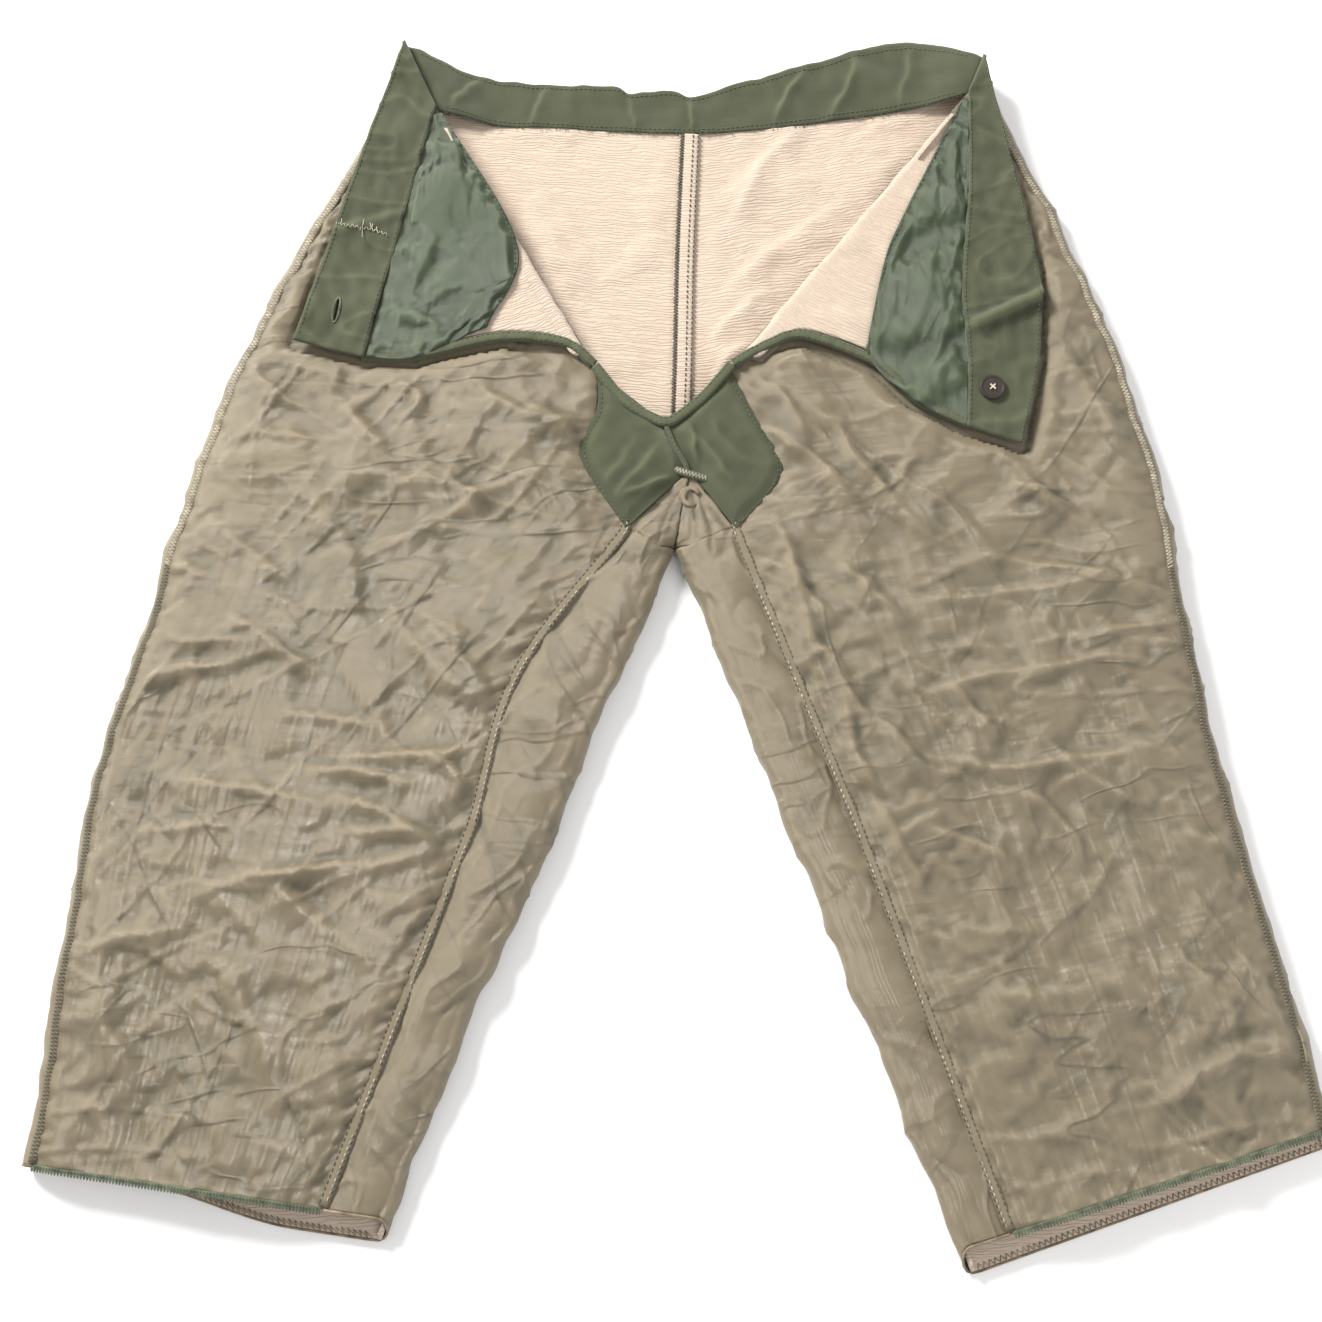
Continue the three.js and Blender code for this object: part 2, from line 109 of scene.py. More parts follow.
SIDES = {
    "left": dict(
        side=-1, inseam=456, splay=22.3, hem=224, hem_tilt=8.2, knee_down=202, knee=296, knee_tilt=6,
        inseam_in=40, knee_inseam_in=51, seam_bow=22, corner_reach=62, corner_shift=(8, -3),
        band_side=(-210, 396), hip=(-308, 190), fold_top=(-173, 391), fold_foot=(-60, 196),
        gusset_tip=(-40, 86), gusset_out=(-70, 136), gusset_top=(-59, 168),
        fly_edge=[(-82, 212), (-127, 215), (-181, 202)], band_end=(-216, 202),
        band_inner=[], band_outer=[(-263, 215)], facing_edge=[(-115, 285), (-134, 224)],
    ),
    "right": dict(
        side=1, inseam=471, splay=21, hem=242, hem_tilt=17.1, knee_down=201, knee=279, knee_tilt=10,
        inseam_in=33, knee_inseam_in=42, seam_bow=0, corner_reach=30, corner_shift=(-8, 3),
        band_side=(214, 404), hip=(297, 190), fold_top=(195, 404), fold_foot=(27, 197),
        gusset_tip=(30, 86), gusset_out=(60, 125), gusset_top=(42, 164),
        fly_edge=[(53, 211), (76, 217), (123, 198), (150, 171)], band_end=(184, 153),
        band_inner=[(189, 250)], band_outer=[(219, 141), (233, 200), (236, 265), (222, 346)],
        facing_edge=[(147, 308), (132, 270), (120, 216)],
    ),
}


# ---------------------------------------------------------------- lines and grids

def vec(*values):
    """A vector or a row of numbers."""
    return np.array(values, float)


def unit(v):
    """Vectors divided by their lengths."""
    return v / np.maximum(np.linalg.norm(v, axis=-1, keepdims=True), 1e-9)


def run_of(path):
    """Length along a path at each of its points."""
    return np.concatenate([[0], np.cumsum(np.linalg.norm(np.diff(path, axis=0), axis=1))])


def lengths_along(grid, axis):
    """Length along each column (axis 0) or each row (axis 1) of a grid, at each of its points."""
    run = np.cumsum(np.linalg.norm(np.diff(grid, axis=axis), axis=2), axis)
    return np.pad(run, ((1, 0), (0, 0)) if axis == 0 else ((0, 0), (1, 0)))


def resample(line, count):
    """count points at equal steps of length along a polyline."""
    line = np.asarray(line, float)
    run = run_of(line)
    at = np.linspace(0, run[-1], count)
    return np.stack([np.interp(at, run, line[:, k]) for k in range(line.shape[1])], axis=1)


def smooth(points, count):
    """A Catmull-Rom curve through the points: each stretch is the cubic whose slope at a point is half
    the step between its two neighbours. count points at equal steps."""
    p = np.asarray(points, float)
    if len(p) == 2:
        return resample(p, count)
    p = np.concatenate([[2 * p[0] - p[1]], p, [2 * p[-1] - p[-2]]])
    t = np.linspace(0, 1, 24, endpoint=False)[None, :, None]
    a, b, c, d = (p[i : len(p) - 3 + i][:, None, :] for i in range(4))
    curve = 0.5 * (2 * b + (c - a) * t + (2 * a - 5 * b + 4 * c - d) * t**2 + (3 * b - a - 3 * c + d) * t**3)
    return resample(np.concatenate([curve.reshape(-1, p.shape[1]), p[-2:-1]]), count)


def sideways(line, distance):
    """A plane line moved to the left of its direction."""
    along = unit(np.gradient(line[:, :2], axis=0))
    out = line.copy()
    out[:, 0] -= along[:, 1] * distance
    out[:, 1] += along[:, 0] * distance
    return out


def ruled(first, second, shares):
    """The grid of straight rows from one line to another, at the given shares of each row."""
    return first[:, None, :] * (1 - shares[None, :, None]) + second[:, None, :] * shares[None, :, None]


def bump(x, low, high):
    """0 below low, 1 above high, a smooth step between."""
    t = np.clip((x - low) / (high - low), 0, 1)
    return t * t * (3 - 2 * t)


def grid_normals(grid):
    """Unit normals of a grid from the cross product of its two central differences."""
    return unit(np.cross(np.gradient(grid, axis=1), np.gradient(grid, axis=0)))


# ---------------------------------------------------------------- noise

def perlin(x, y, seed):
    """Gradient noise on a unit lattice, from about -1 to 1."""
    x0, y0 = np.floor(x).astype(np.int64), np.floor(y).astype(np.int64)
    fx, fy = x - x0, y - y0

    def corner(i, j):
        h = ((x0 + i) * 374761393 + (y0 + j) * 668265263 + seed * 974634777) & 0x7FFFFFFF
        h = ((h ^ (h >> 13)) * 1274126177) & 0x7FFFFFFF
        angle = (h ^ (h >> 16)) % 4096 / 4096 * 2 * np.pi
        return np.cos(angle) * (fx - i) + np.sin(angle) * (fy - j)

    u, v = fx * fx * fx * (fx * (fx * 6 - 15) + 10), fy * fy * fy * (fy * (fy * 6 - 15) + 10)
    low = corner(0, 0) * (1 - u) + corner(1, 0) * u
    high = corner(0, 1) * (1 - u) + corner(1, 1) * u
    return 1.5 * (low * (1 - v) + high * v)


def fractal(x, y, seed, octaves=3):
    """Gradient noise summed over octaves, each half as large and twice as fine as the one before."""
    return sum(perlin(x * 2**k, y * 2**k, seed + 17 * k) / 2**k for k in range(octaves))


def creases(x, y, size, seed, sharp=3.0):
    """Sharp crests where warped noise changes sign: (1 - |noise|) to a power, less its mean."""
    wx = x / size + 0.55 * fractal(x / size / 2.1, y / size / 2.1, seed + 5, 2)
    wy = y / size + 0.55 * fractal(x / size / 2.1, y / size / 2.1, seed + 9, 2)
    return np.clip(1 - np.abs(perlin(wx, wy, seed)) * 1.6, 0, 1) ** sharp - 0.22


def puffs(x, y, size, seed):
    """Soft swellings with a sharp valley between them: the root of |warped noise|, less its mean."""
    wx = x / size + 0.5 * fractal(x / size / 1.8, y / size / 1.8, seed + 5, 2)
    wy = y / size + 0.5 * fractal(x / size / 1.8, y / size / 1.8, seed + 9, 2)
    return np.sqrt(np.abs(perlin(wx, wy, seed)) + 0.01) - 0.5


def fold_field(x, y, folds):
    """The height of listed folds. Each runs from (x0, y0) to (x1, y1) with a sideways bow, is a crest of the
    given height with a steep side and a long side, and dies away at both ends."""
    height = np.zeros_like(x)
    for x0, y0, x1, y1, width, tall, bow in folds:
        run = vec(x1 - x0, y1 - y0)
        long = np.linalg.norm(run)
        along, across = run / long, vec(-run[1], run[0]) / long
        s = ((x - x0) * along[0] + (y - y0) * along[1]) / long
        d = (x - x0) * across[0] + (y - y0) * across[1] - bow * 4 * s * (1 - s)
        d = d + 0.35 * width * perlin(s * 3.1, np.full_like(s, x0 * 0.13), int(abs(y0)) + 3)
        steep, gentle = np.exp(-np.abs(d / (0.45 * width)) ** 1.6), np.exp(-np.abs(d / width) ** 1.4)
        ends = bump(s, -0.08, 0.3) * (1 - bump(s, 0.65, 1.08))
        height += tall * np.where(d > 0, steep, gentle) * ends
    return height


# ---------------------------------------------------------------- meshes

def to_row(points):
    """Garment millimetres to metres in the frame."""
    out = np.array(points, float)
    out[..., :2] += OFFSET
    return out * MM


def new_mesh(name, verts, quads, material, uv=None, values=None, tris=None):
    """A mesh object from whole arrays: vertices in metres, faces of four and three corners, and per-
    vertex UV and attributes."""
    tris = np.zeros((0, 3), int) if tris is None else tris
    corners = np.concatenate([quads.ravel(), tris.ravel()]).astype(np.int32)
    starts = np.concatenate([np.arange(len(quads)) * 4, quads.size + np.arange(len(tris)) * 3])
    starts = starts.astype(np.int32)
    me = bpy.data.meshes.new(name)
    me.vertices.add(len(verts))
    me.vertices.foreach_set("co", np.ascontiguousarray(verts, np.float32).ravel())
    me.loops.add(len(corners))
    me.loops.foreach_set("vertex_index", corners)
    me.polygons.add(len(starts))
    me.polygons.foreach_set("loop_start", starts)
    me.polygons.foreach_set("use_smooth", np.full(len(starts), True))
    me.update(calc_edges=True)
    if uv is not None:
        layer = me.uv_layers.new(name="UVMap")
        layer.data.foreach_set("uv", np.ascontiguousarray(uv[corners], np.float32).ravel())
    for key, value in (values or {}).items():
        field = me.attributes.new(key, "FLOAT", "POINT")
        field.data.foreach_set("value", np.ascontiguousarray(value, np.float32))
    me.validate()
    me.materials.append(material)
    obj = bpy.data.objects.new(name, me)
    bpy.context.scene.collection.objects.link(obj)
    return obj


def grid_quads(rows, cols, start=0, wrap=False):
    """The four corners of every cell of a grid, counted row by row. wrap joins the last column to the
    first."""
    i, j = np.meshgrid(np.arange(rows - 1), np.arange(cols if wrap else cols - 1), indexing="ij")
    k = (j + 1) % cols
    corners = [i * cols + j, i * cols + k, (i + 1) * cols + k, (i + 1) * cols + j]
    return start + np.stack(corners, -1).reshape(-1, 4)


def cloth_arrays(grid, thick, outward):
    """A grid of points as a closed cloth: the face side, the same grid moved in by the thickness, and a
    rim."""
    rows, cols = grid.shape[:2]
    normals = grid_normals(grid)
    flipped = (normals * outward).sum() < 0
    if flipped:
        grid, normals = grid[:, ::-1], -normals[:, ::-1]
    inner = grid - normals * thick
    n = rows * cols
    face = grid_quads(rows, cols)
    back = grid_quads(rows, cols, n)[:, ::-1]
    ids = np.arange(n).reshape(rows, cols)
    ring = np.concatenate([ids[0, :], ids[1:, -1], ids[-1, -2::-1], ids[-2:0:-1, 0]])
    after = np.roll(ring, -1)
    rim = np.stack([ring, ring + n, after + n, after], -1)
    uv = np.stack([lengths_along(grid, 1), lengths_along(grid, 0)], -1).reshape(-1, 2) * MM * 10
    quads = np.concatenate([face, back, rim])
    return np.concatenate([grid.reshape(-1, 3), inner.reshape(-1, 3)]), quads, np.tile(uv, (2, 1)), flipped


def lowest_near(z, reach):
    """The lowest value within a few cells of each one."""
    for _ in range(reach):
        pad = np.pad(z, 1, mode="edge")
        z = np.minimum.reduce([z, pad[:-2, 1:-1], pad[2:, 1:-1], pad[1:-1, :-2], pad[1:-1, 2:]])
    return z


def hollow_of(grid):
    """How far each point lies below the mean of the points around it, in millimetres, blurred a little. The
    cloth materials turn it into painted shade in the hollows and painted highlight on the crests."""
    z = grid[..., 2]
    wide = z.copy()
    for _ in range(6):
        pad = np.pad(wide, 1, mode="edge")
        wide = (pad[:-2, 1:-1] + pad[2:, 1:-1] + pad[1:-1, :-2] + pad[1:-1, 2:]) / 4
    return wide - z


def joined_cloths(name, parts, thick, material):
    """Several cloth grids as one mesh. Each part is (grid, outward)."""
    verts, quads, uvs, hollows, start = [], [], [], [], 0
    for grid, outward in parts:
        v, q, uv, flipped = cloth_arrays(grid, thick, np.array(outward, float))
        field = hollow_of(grid)
        field = field[:, ::-1] if flipped else field
        verts.append(v)
        quads.append(q + start)
        uvs.append(uv)
        hollows.append(np.tile(field.ravel(), 2))
        start += len(v)
    # The hollow attribute drives the painted shade in the hollows and the painted highlight on the crests.
    values = {"hollow": np.concatenate(hollows)}
    return new_mesh(
        name, to_row(np.concatenate(verts)), np.concatenate(quads), material, np.concatenate(uvs), values)


def cloth_piece(name, grid, thick, material, outward=(0, 0, 1)):
    """One closed sheet of cloth from a grid in garment millimetres."""
    return joined_cloths(name, [(grid, outward)], thick, material)


# ---------------------------------------------------------------- the leg's lines

def leg_lines(name):
    """The key points of one side, worked out as the frame's plates are, and its lines row by row."""
    s = SIDES[name]
    k = s["side"]
    a, h, t = (math.radians(s[key]) for key in ("splay", "hem_tilt", "knee_tilt"))
    fork = vec(*FORK)
    down = vec(k * math.sin(a), -math.cos(a))
    across_hem, across_knee = vec(k * math.cos(h), math.sin(h)), vec(k * math.cos(t), math.sin(t))
    hem_inner, knee_inner = fork + down * s["inseam"], fork + down * s["knee_down"]
    tip, knee_seam = vec(*s["gusset_tip"]), knee_inner + across_knee * s["knee_inseam_in"]
    seam_middle = (tip + knee_seam) / 2 + vec(k * s["seam_bow"], 0)
    return dict(
        s=s, k=k, down=down, across_hem=across_hem, across_knee=across_knee, fork=fork,
        hem_inner=hem_inner, hem_outer=hem_inner + across_hem * s["hem"],
        hem_seam=hem_inner + across_hem * s["inseam_in"],
        knee_inner=knee_inner, knee_outer=knee_inner + across_knee * s["knee"], knee_seam=knee_seam,
        seam_middle=seam_middle, tip=tip,
    )


# Rows of a side's grids along the fold line, the gusset, the thigh and the shin.
ROWS = (104, 60, 92, 110)


def row_lines(name):
    """Every row of one side's grids: its outer edge, outseam, inseam side and inner edge, from waist to
    hem."""
    p = leg_lines(name)
    s = p["s"]
    n1, n2, n3, n4 = ROWS
    outer_thigh = smooth([s["band_side"], s["hip"], p["knee_outer"]], n1 + n2 + n3 + 1)
    outer = np.concatenate([outer_thigh[:-1], resample([p["knee_outer"], p["hem_outer"]], n4)])
    gusset = resample([s["fold_foot"], s["gusset_top"], s["gusset_out"], s["gusset_tip"]], n2 + 1)
    seam = smooth([s["gusset_tip"], p["seam_middle"], p["knee_seam"]], n3 + 1)
    inner = np.concatenate([
        resample([s["fold_top"], s["fold_foot"]], n1 + 1)[:-1], gusset[:-1], seam[:-1],
        resample([p["knee_seam"], p["hem_seam"]], n4),
    ])
    mid_centre = vec(*BACK_CENTRE) * 0.35 + p["fork"] * 0.65
    edge = np.concatenate([
        resample([BACK_CENTRE, mid_centre], n1 + 1)[:-1], resample([mid_centre, p["fork"]], n2 + 1)[:-1],
        resample([p["fork"], p["knee_inner"]], n3 + 1)[:-1], resample([p["knee_inner"], p["hem_inner"]], n4),
    ])
    v = np.arange(len(outer))
    wobble = 2.2 * perlin(v / 25.0, v * 0 + 3.3, 11 if s["side"] < 0 else 12)
    wobble += 1.2 * perlin(v / 9.0, v * 0 + 7.7, 21)
    outer = sideways(outer, -s["side"] * wobble * bump(v, 5, 60))
    below = bump(v, n1 + n2 + 2, n1 + n2 + 45)
    inner_wobble = 2.5 * perlin(v / 21.0, v * 0 + 1.3, 31 + s["side"])
    inner_wobble += 1.3 * perlin(v / 8.0, v * 0 + 0.4, 41)
    edge = sideways(edge, s["side"] * inner_wobble * below)
    return dict(p, outer=outer, inner=inner, edge=edge, rows=len(outer), tip_row=n1 + n2)


# ---------------------------------------------------------------- cloth simulation

def finer(count, coarse):
    """The matrix that carries coarse samples to count samples by Catmull-Rom weights."""
    at = np.linspace(0, coarse - 1, count)
    i = np.minimum(at.astype(int), coarse - 2)
    t = at - i
    weights = (
        -0.5 * t + t**2 - 0.5 * t**3, 1 - 2.5 * t**2 + 1.5 * t**3,
        0.5 * t + 2 * t**2 - 1.5 * t**3, -0.5 * t**2 + 0.5 * t**3,
    )
    matrix = np.zeros((count, coarse))
    for k, weight in enumerate(weights):
        np.add.at(matrix, (np.arange(count), np.clip(i - 1 + k, 0, coarse - 1)), weight)
    return matrix


# The simulated cloth is built a hundred times smaller in number than its millimetres.
CLOTH_SCALE = 0.01


def settled(grid, step, growth, hold, frames, seed, cap):
    """Lets a cloth that is cut larger than its place settle into wrinkles. The grid is thinned to about
    one point each step millimetres, its border is pinned, a weak pull holds the rest, and every rest
    length is longer than the place by the growth. Returns how far each point of the full grid moved, no
    more than cap."""
    rows, cols = grid.shape[:2]
    long = np.linalg.norm(np.diff(grid, axis=0), axis=2).sum(0).mean()
    wide = np.linalg.norm(np.diff(grid, axis=1), axis=2).sum(1).mean()
    r, c = max(12, int(long / step)), max(12, int(wide / step))
    pick_r = np.linspace(0, rows - 1, r).round().astype(int)
    pick_c = np.linspace(0, cols - 1, c).round().astype(int)
    base = grid[pick_r][:, pick_c] * CLOTH_SCALE
    i, j = np.meshgrid(pick_r / rows * long / 30, pick_c / cols * wide / 30, indexing="ij")
    start = base.copy()
    border = np.zeros((r, c), bool)
    border[[0, -1]] = border[:, [0, -1]] = True
    start[..., 2] += 0.012 * fractal(i * 1.5 + j * 0.6, j * 1.1 - i * 0.4, seed, 3) * ~border

    me = bpy.data.meshes.new("settling")
    me.from_pydata(start.reshape(-1, 3).tolist(), [], grid_quads(r, c).tolist())
    obj = bpy.data.objects.new("settling", me)
    bpy.context.scene.collection.objects.link(obj)
    group = obj.vertex_groups.new(name="held")
    ids = np.arange(r * c)
    group.add(ids[border.ravel()].tolist(), 1.0, "REPLACE")
    group.add(ids[~border.ravel()].tolist(), hold, "REPLACE")
    cloth = obj.modifiers.new("Cloth", "CLOTH")
    settings = cloth.settings
    settings.quality = 6
    settings.mass = 0.25
    settings.air_damping = 2
    settings.tension_stiffness = settings.compression_stiffness = 30
    settings.shear_stiffness = 12
    settings.bending_stiffness = 0.35
    settings.vertex_group_mass = "held"
    settings.pin_stiffness = 1
    settings.effector_weights.gravity = 0
    settings.shrink_min = -growth
    cloth.collision_settings.use_collision = False
    scene = bpy.context.scene
    cloth.point_cache.frame_start, cloth.point_cache.frame_end = 1, frames
    for frame_number in range(1, frames + 1):
        scene.frame_set(frame_number)
    shown = obj.evaluated_get(bpy.context.evaluated_depsgraph_get())
    moved = np.zeros(r * c * 3, np.float32)
    shown.data.vertices.foreach_get("co", moved)
    scene.frame_set(1)
    bpy.data.objects.remove(obj)
    bpy.data.meshes.remove(me)
    shift = (moved.reshape(r, c, 3) - base) * 100
    shift[border] = 0
    far = np.linalg.norm(shift, axis=2, keepdims=True)
    shift *= cap * np.tanh(far / cap) / np.maximum(far, 1e-6)
    return np.einsum("ai,ijk,bj->abk", finer(rows, r), shift, finer(cols, c))


# ---------------------------------------------------------------- materials

def group_tree(name, inputs, outputs):
    """A new node group with float or colour sockets. Returns the tree, its input node and its output
    node."""
    tree = bpy.data.node_groups.new(name, "ShaderNodeTree")
    for direction, sockets in (("INPUT", inputs), ("OUTPUT", outputs)):
        for label, kind, value in sockets:
            socket = tree.interface.new_socket(label, in_out=direction, socket_type=kind)
            if value is not None:
                socket.default_value = value
    return tree, tree.nodes.new("NodeGroupInput"), tree.nodes.new("NodeGroupOutput")


def math_node(tree, operation, *values, clamp=False):
    """A Math node whose inputs are numbers or sockets. Returns its output."""
    node = tree.nodes.new("ShaderNodeMath")
    node.operation, node.use_clamp = operation, clamp
    for k, value in enumerate(values):
        if isinstance(value, (int, float)):
            node.inputs[k].default_value = value
        else:
            tree.links.new(value, node.inputs[k])
    return node.outputs[0]


def noise_node(tree, vector, scale, detail=3.0, roughness=0.55):
    """A Noise Texture's value on a vector."""
    node = tree.nodes.new("ShaderNodeTexNoise")
    node.inputs["Scale"].default_value = scale
    node.inputs["Detail"].default_value = detail
    node.inputs["Roughness"].default_value = roughness
    tree.links.new(vector, node.inputs["Vector"])
    return node.outputs["Fac"]


def stretched(tree, vector, scale, turn=0.0):
    """A vector scaled and turned by a Mapping node."""
    node = tree.nodes.new("ShaderNodeMapping")
    node.inputs["Scale"].default_value = scale
    node.inputs["Rotation"].default_value = (0, 0, turn)
    tree.links.new(vector, node.inputs["Vector"])
    return node.outputs[0]


def mixed(tree, share, a, b):
    """One colour at share 0, the other at share 1. Each is a colour or a socket."""
    node = tree.nodes.new("ShaderNodeMix")
    node.data_type = "RGBA"
    for socket, value in ((node.inputs[0], share), (node.inputs[6], a), (node.inputs[7], b)):
        if isinstance(value, (int, float, tuple)):
            socket.default_value = value
        else:
            tree.links.new(value, socket)
    return node.outputs[2]


def weave_group():
    """Plain weave on the cloth's own UV: the product of two sine rows, one thread apart. One UV unit is
    100 mm."""
    tree, given, out = group_tree(
        "Weave", [("Threads", "NodeSocketFloat", 160.0), ("Slant", "NodeSocketFloat", 0.0)],
        [("Height", "NodeSocketFloat", None), ("Slub", "NodeSocketFloat", None)],
    )
    uv = tree.nodes.new("ShaderNodeUVMap").outputs[0]
    split = tree.nodes.new("ShaderNodeSeparateXYZ")
    tree.links.new(uv, split.inputs[0])
    turns = math_node(tree, "MULTIPLY", given.outputs["Threads"], 2 * math.pi)
    slanted = math_node(tree, "MULTIPLY", split.outputs[1], given.outputs[1])
    across = math_node(tree, "ADD", split.outputs[0], slanted)
    warp = math_node(tree, "SINE", math_node(tree, "MULTIPLY", across, turns))
    weft = math_node(tree, "SINE", math_node(tree, "MULTIPLY", split.outputs[1], turns))
    tree.links.new(math_node(tree, "MULTIPLY", warp, weft), out.inputs["Height"])
    slub = noise_node(tree, stretched(tree, uv, (4, 90, 1)), 1.0, 2)
    tree.links.new(slub, out.inputs["Slub"])
    return tree


def shade_group():
    """Colour by the cloth's own relief, as painted shade and painted highlight: the hollow attribute mixes
    the Flat colour towards the Hollow colour in hollows (painted shade) and towards the Crest colour on
    crests (painted highlight), and noise breaks them up."""
    colour = "NodeSocketColor"
    tree, given, out = group_tree(
        "Fold Shade",
        [
            ("Crest", colour, (1, 1, 1, 1)), ("Flat", colour, (0.5, 0.5, 0.5, 1)),
            ("Hollow", colour, (0, 0, 0, 1)), ("Reach", "NodeSocketFloat", 1.0),
            ("Patch", "NodeSocketFloat", 0.3),
        ],
        [("Color", colour, None), ("Hollowness", "NodeSocketFloat", None)],
    )
    relief = tree.nodes.new("ShaderNodeAttribute")
    relief.attribute_name = "hollow"
    place = tree.nodes.new("ShaderNodeTexCoord").outputs["Object"]
    patch = math_node(tree, "SUBTRACT", noise_node(tree, place, 9.0, 4), 0.5)
    grain = math_node(tree, "SUBTRACT", noise_node(tree, place, 70.0, 3), 0.5)
    level = math_node(tree, "DIVIDE", relief.outputs["Fac"], given.outputs["Reach"])
    level = math_node(tree, "ADD", level, math_node(tree, "MULTIPLY", patch, given.outputs["Patch"]))
    level = math_node(tree, "ADD", level, math_node(tree, "MULTIPLY", grain, 0.25))
    # into is the share of painted shade in the hollows, onto the share of painted highlight on the crests.
    into = math_node(tree, "MULTIPLY", level, 1.0, clamp=True)
    onto = math_node(tree, "MULTIPLY", level, -1.0, clamp=True)
    colour_out = mixed(tree, into, given.outputs["Flat"], given.outputs["Hollow"])
    colour_out = mixed(tree, onto, colour_out, given.outputs["Crest"])
    tree.links.new(colour_out, out.inputs["Color"])
    tree.links.new(into, out.inputs["Hollowness"])
    return tree


def crease_group():
    """Long fine creases in patches: thin lines where noise stretched one way crosses its middle value, in
    three directions, each kept to the places where a slow noise is high."""
    tree, given, out = group_tree(
        "Fine Creases", [("Width", "NodeSocketFloat", 30.0)], [("Height", "NodeSocketFloat", None)],
    )
    place = tree.nodes.new("ShaderNodeTexCoord").outputs["Object"]
    total = 0.0
    for turn, across, along in ((0.65, 19, 6), (-0.45, 23, 7), (1.45, 30, 10)):
        turned = stretched(tree, stretched(tree, place, (1, 1, 1), turn), (across, along, 4))
        away = math_node(tree, "SUBTRACT", noise_node(tree, turned, 1.0, 2.0), 0.5)
        away = math_node(tree, "ABSOLUTE", away)
        away = math_node(tree, "MULTIPLY", away, given.outputs[0])
        line = math_node(tree, "SUBTRACT", 1.0, away, clamp=True)
        slow = noise_node(tree, stretched(tree, place, (1, 1, 1), turn + 2), 8.0, 2)
        patch = math_node(tree, "MULTIPLY", math_node(tree, "SUBTRACT", slow, 0.48), 6.0, clamp=True)
        total = math_node(tree, "ADD", total, math_node(tree, "MULTIPLY", line, patch))
    tree.links.new(total, out.inputs["Height"])
    return tree


def ribs_group():
    """Fine knitted ribs across the cloth, broken by noise, with a soft fuzz between them."""
    tree, given, out = group_tree(
        "Pile Ribs", [("Ribs", "NodeSocketFloat", 42.0)],
        [("Height", "NodeSocketFloat", None), ("Tint", "NodeSocketFloat", None)],
    )
    uv = tree.nodes.new("ShaderNodeUVMap").outputs[0]
    split = tree.nodes.new("ShaderNodeSeparateXYZ")
    tree.links.new(uv, split.inputs[0])
    wander = math_node(tree, "MULTIPLY", noise_node(tree, stretched(tree, uv, (3, 9, 1)), 1.5, 3), 0.09)
    turns = math_node(tree, "MULTIPLY", given.outputs[0], 2 * math.pi)
    wandering = math_node(tree, "ADD", split.outputs[1], wander)
    ribs = math_node(tree, "SINE", math_node(tree, "MULTIPLY", wandering, turns))
    broken = noise_node(tree, stretched(tree, uv, (26, 70, 1)), 1.0, 3)
    fuzz = noise_node(tree, uv, 150.0, 4, 0.7)
    rough_ribs = math_node(tree, "MULTIPLY", ribs, broken)
    height = math_node(tree, "ADD", rough_ribs, math_node(tree, "MULTIPLY", fuzz, 1.3))
    tree.links.new(height, out.inputs["Height"])
    by_height = math_node(tree, "MULTIPLY", height, 0.28)
    tint = math_node(tree, "ADD", by_height, math_node(tree, "MULTIPLY", broken, 0.5))
    tree.links.new(tint, out.inputs["Tint"])
    return tree


GROUP_MAKERS = {
    "Weave": weave_group, "Fold Shade": shade_group, "Pile Ribs": ribs_group, "Fine Creases": crease_group,
}
GROUPS = {}


def place_group(tree, name, **values):
    """A group node in a material, with its own values. The group is built once."""
    if name not in GROUPS:
        GROUPS[name] = GROUP_MAKERS[name]()
    node = tree.nodes.new("ShaderNodeGroup")
    node.node_tree = GROUPS[name]
    for label, value in values.items():
        node.inputs[label].default_value = value
    return node


def shaded(colour, factor):
    """A colour times a factor, no brighter than 1."""
    return tuple(min(channel * factor, 1.0) for channel in colour[:3]) + (1.0,)


def base_material(name, roughness, sheen=0.0, coat=0.0):
    """A material with its shader's even values set."""
    material = bpy.data.materials.new(name)
    material.use_nodes = True
    tree = material.node_tree
    shader = tree.nodes["Principled BSDF"]
    shader.inputs["Roughness"].default_value = roughness
    shader.inputs["Sheen Weight"].default_value = sheen
    shader.inputs["Sheen Roughness"].default_value = 0.4
    shader.inputs["Coat Weight"].default_value = coat
    shader.inputs["Coat Roughness"].default_value = 0.45
    return material, tree, shader


def bump_into(tree, shader, height, distance, strength=1.0, before=None):
    """A Bump node from a height to the shader's normal, after another one where it is given."""
    node = tree.nodes.new("ShaderNodeBump")
    node.inputs["Distance"].default_value = distance
    node.inputs["Strength"].default_value = strength
    tree.links.new(height, node.inputs["Height"])
    if before is not None:
        tree.links.new(before, node.inputs["Normal"])
    tree.links.new(node.outputs[0], shader.inputs["Normal"])
    return node.outputs[0]


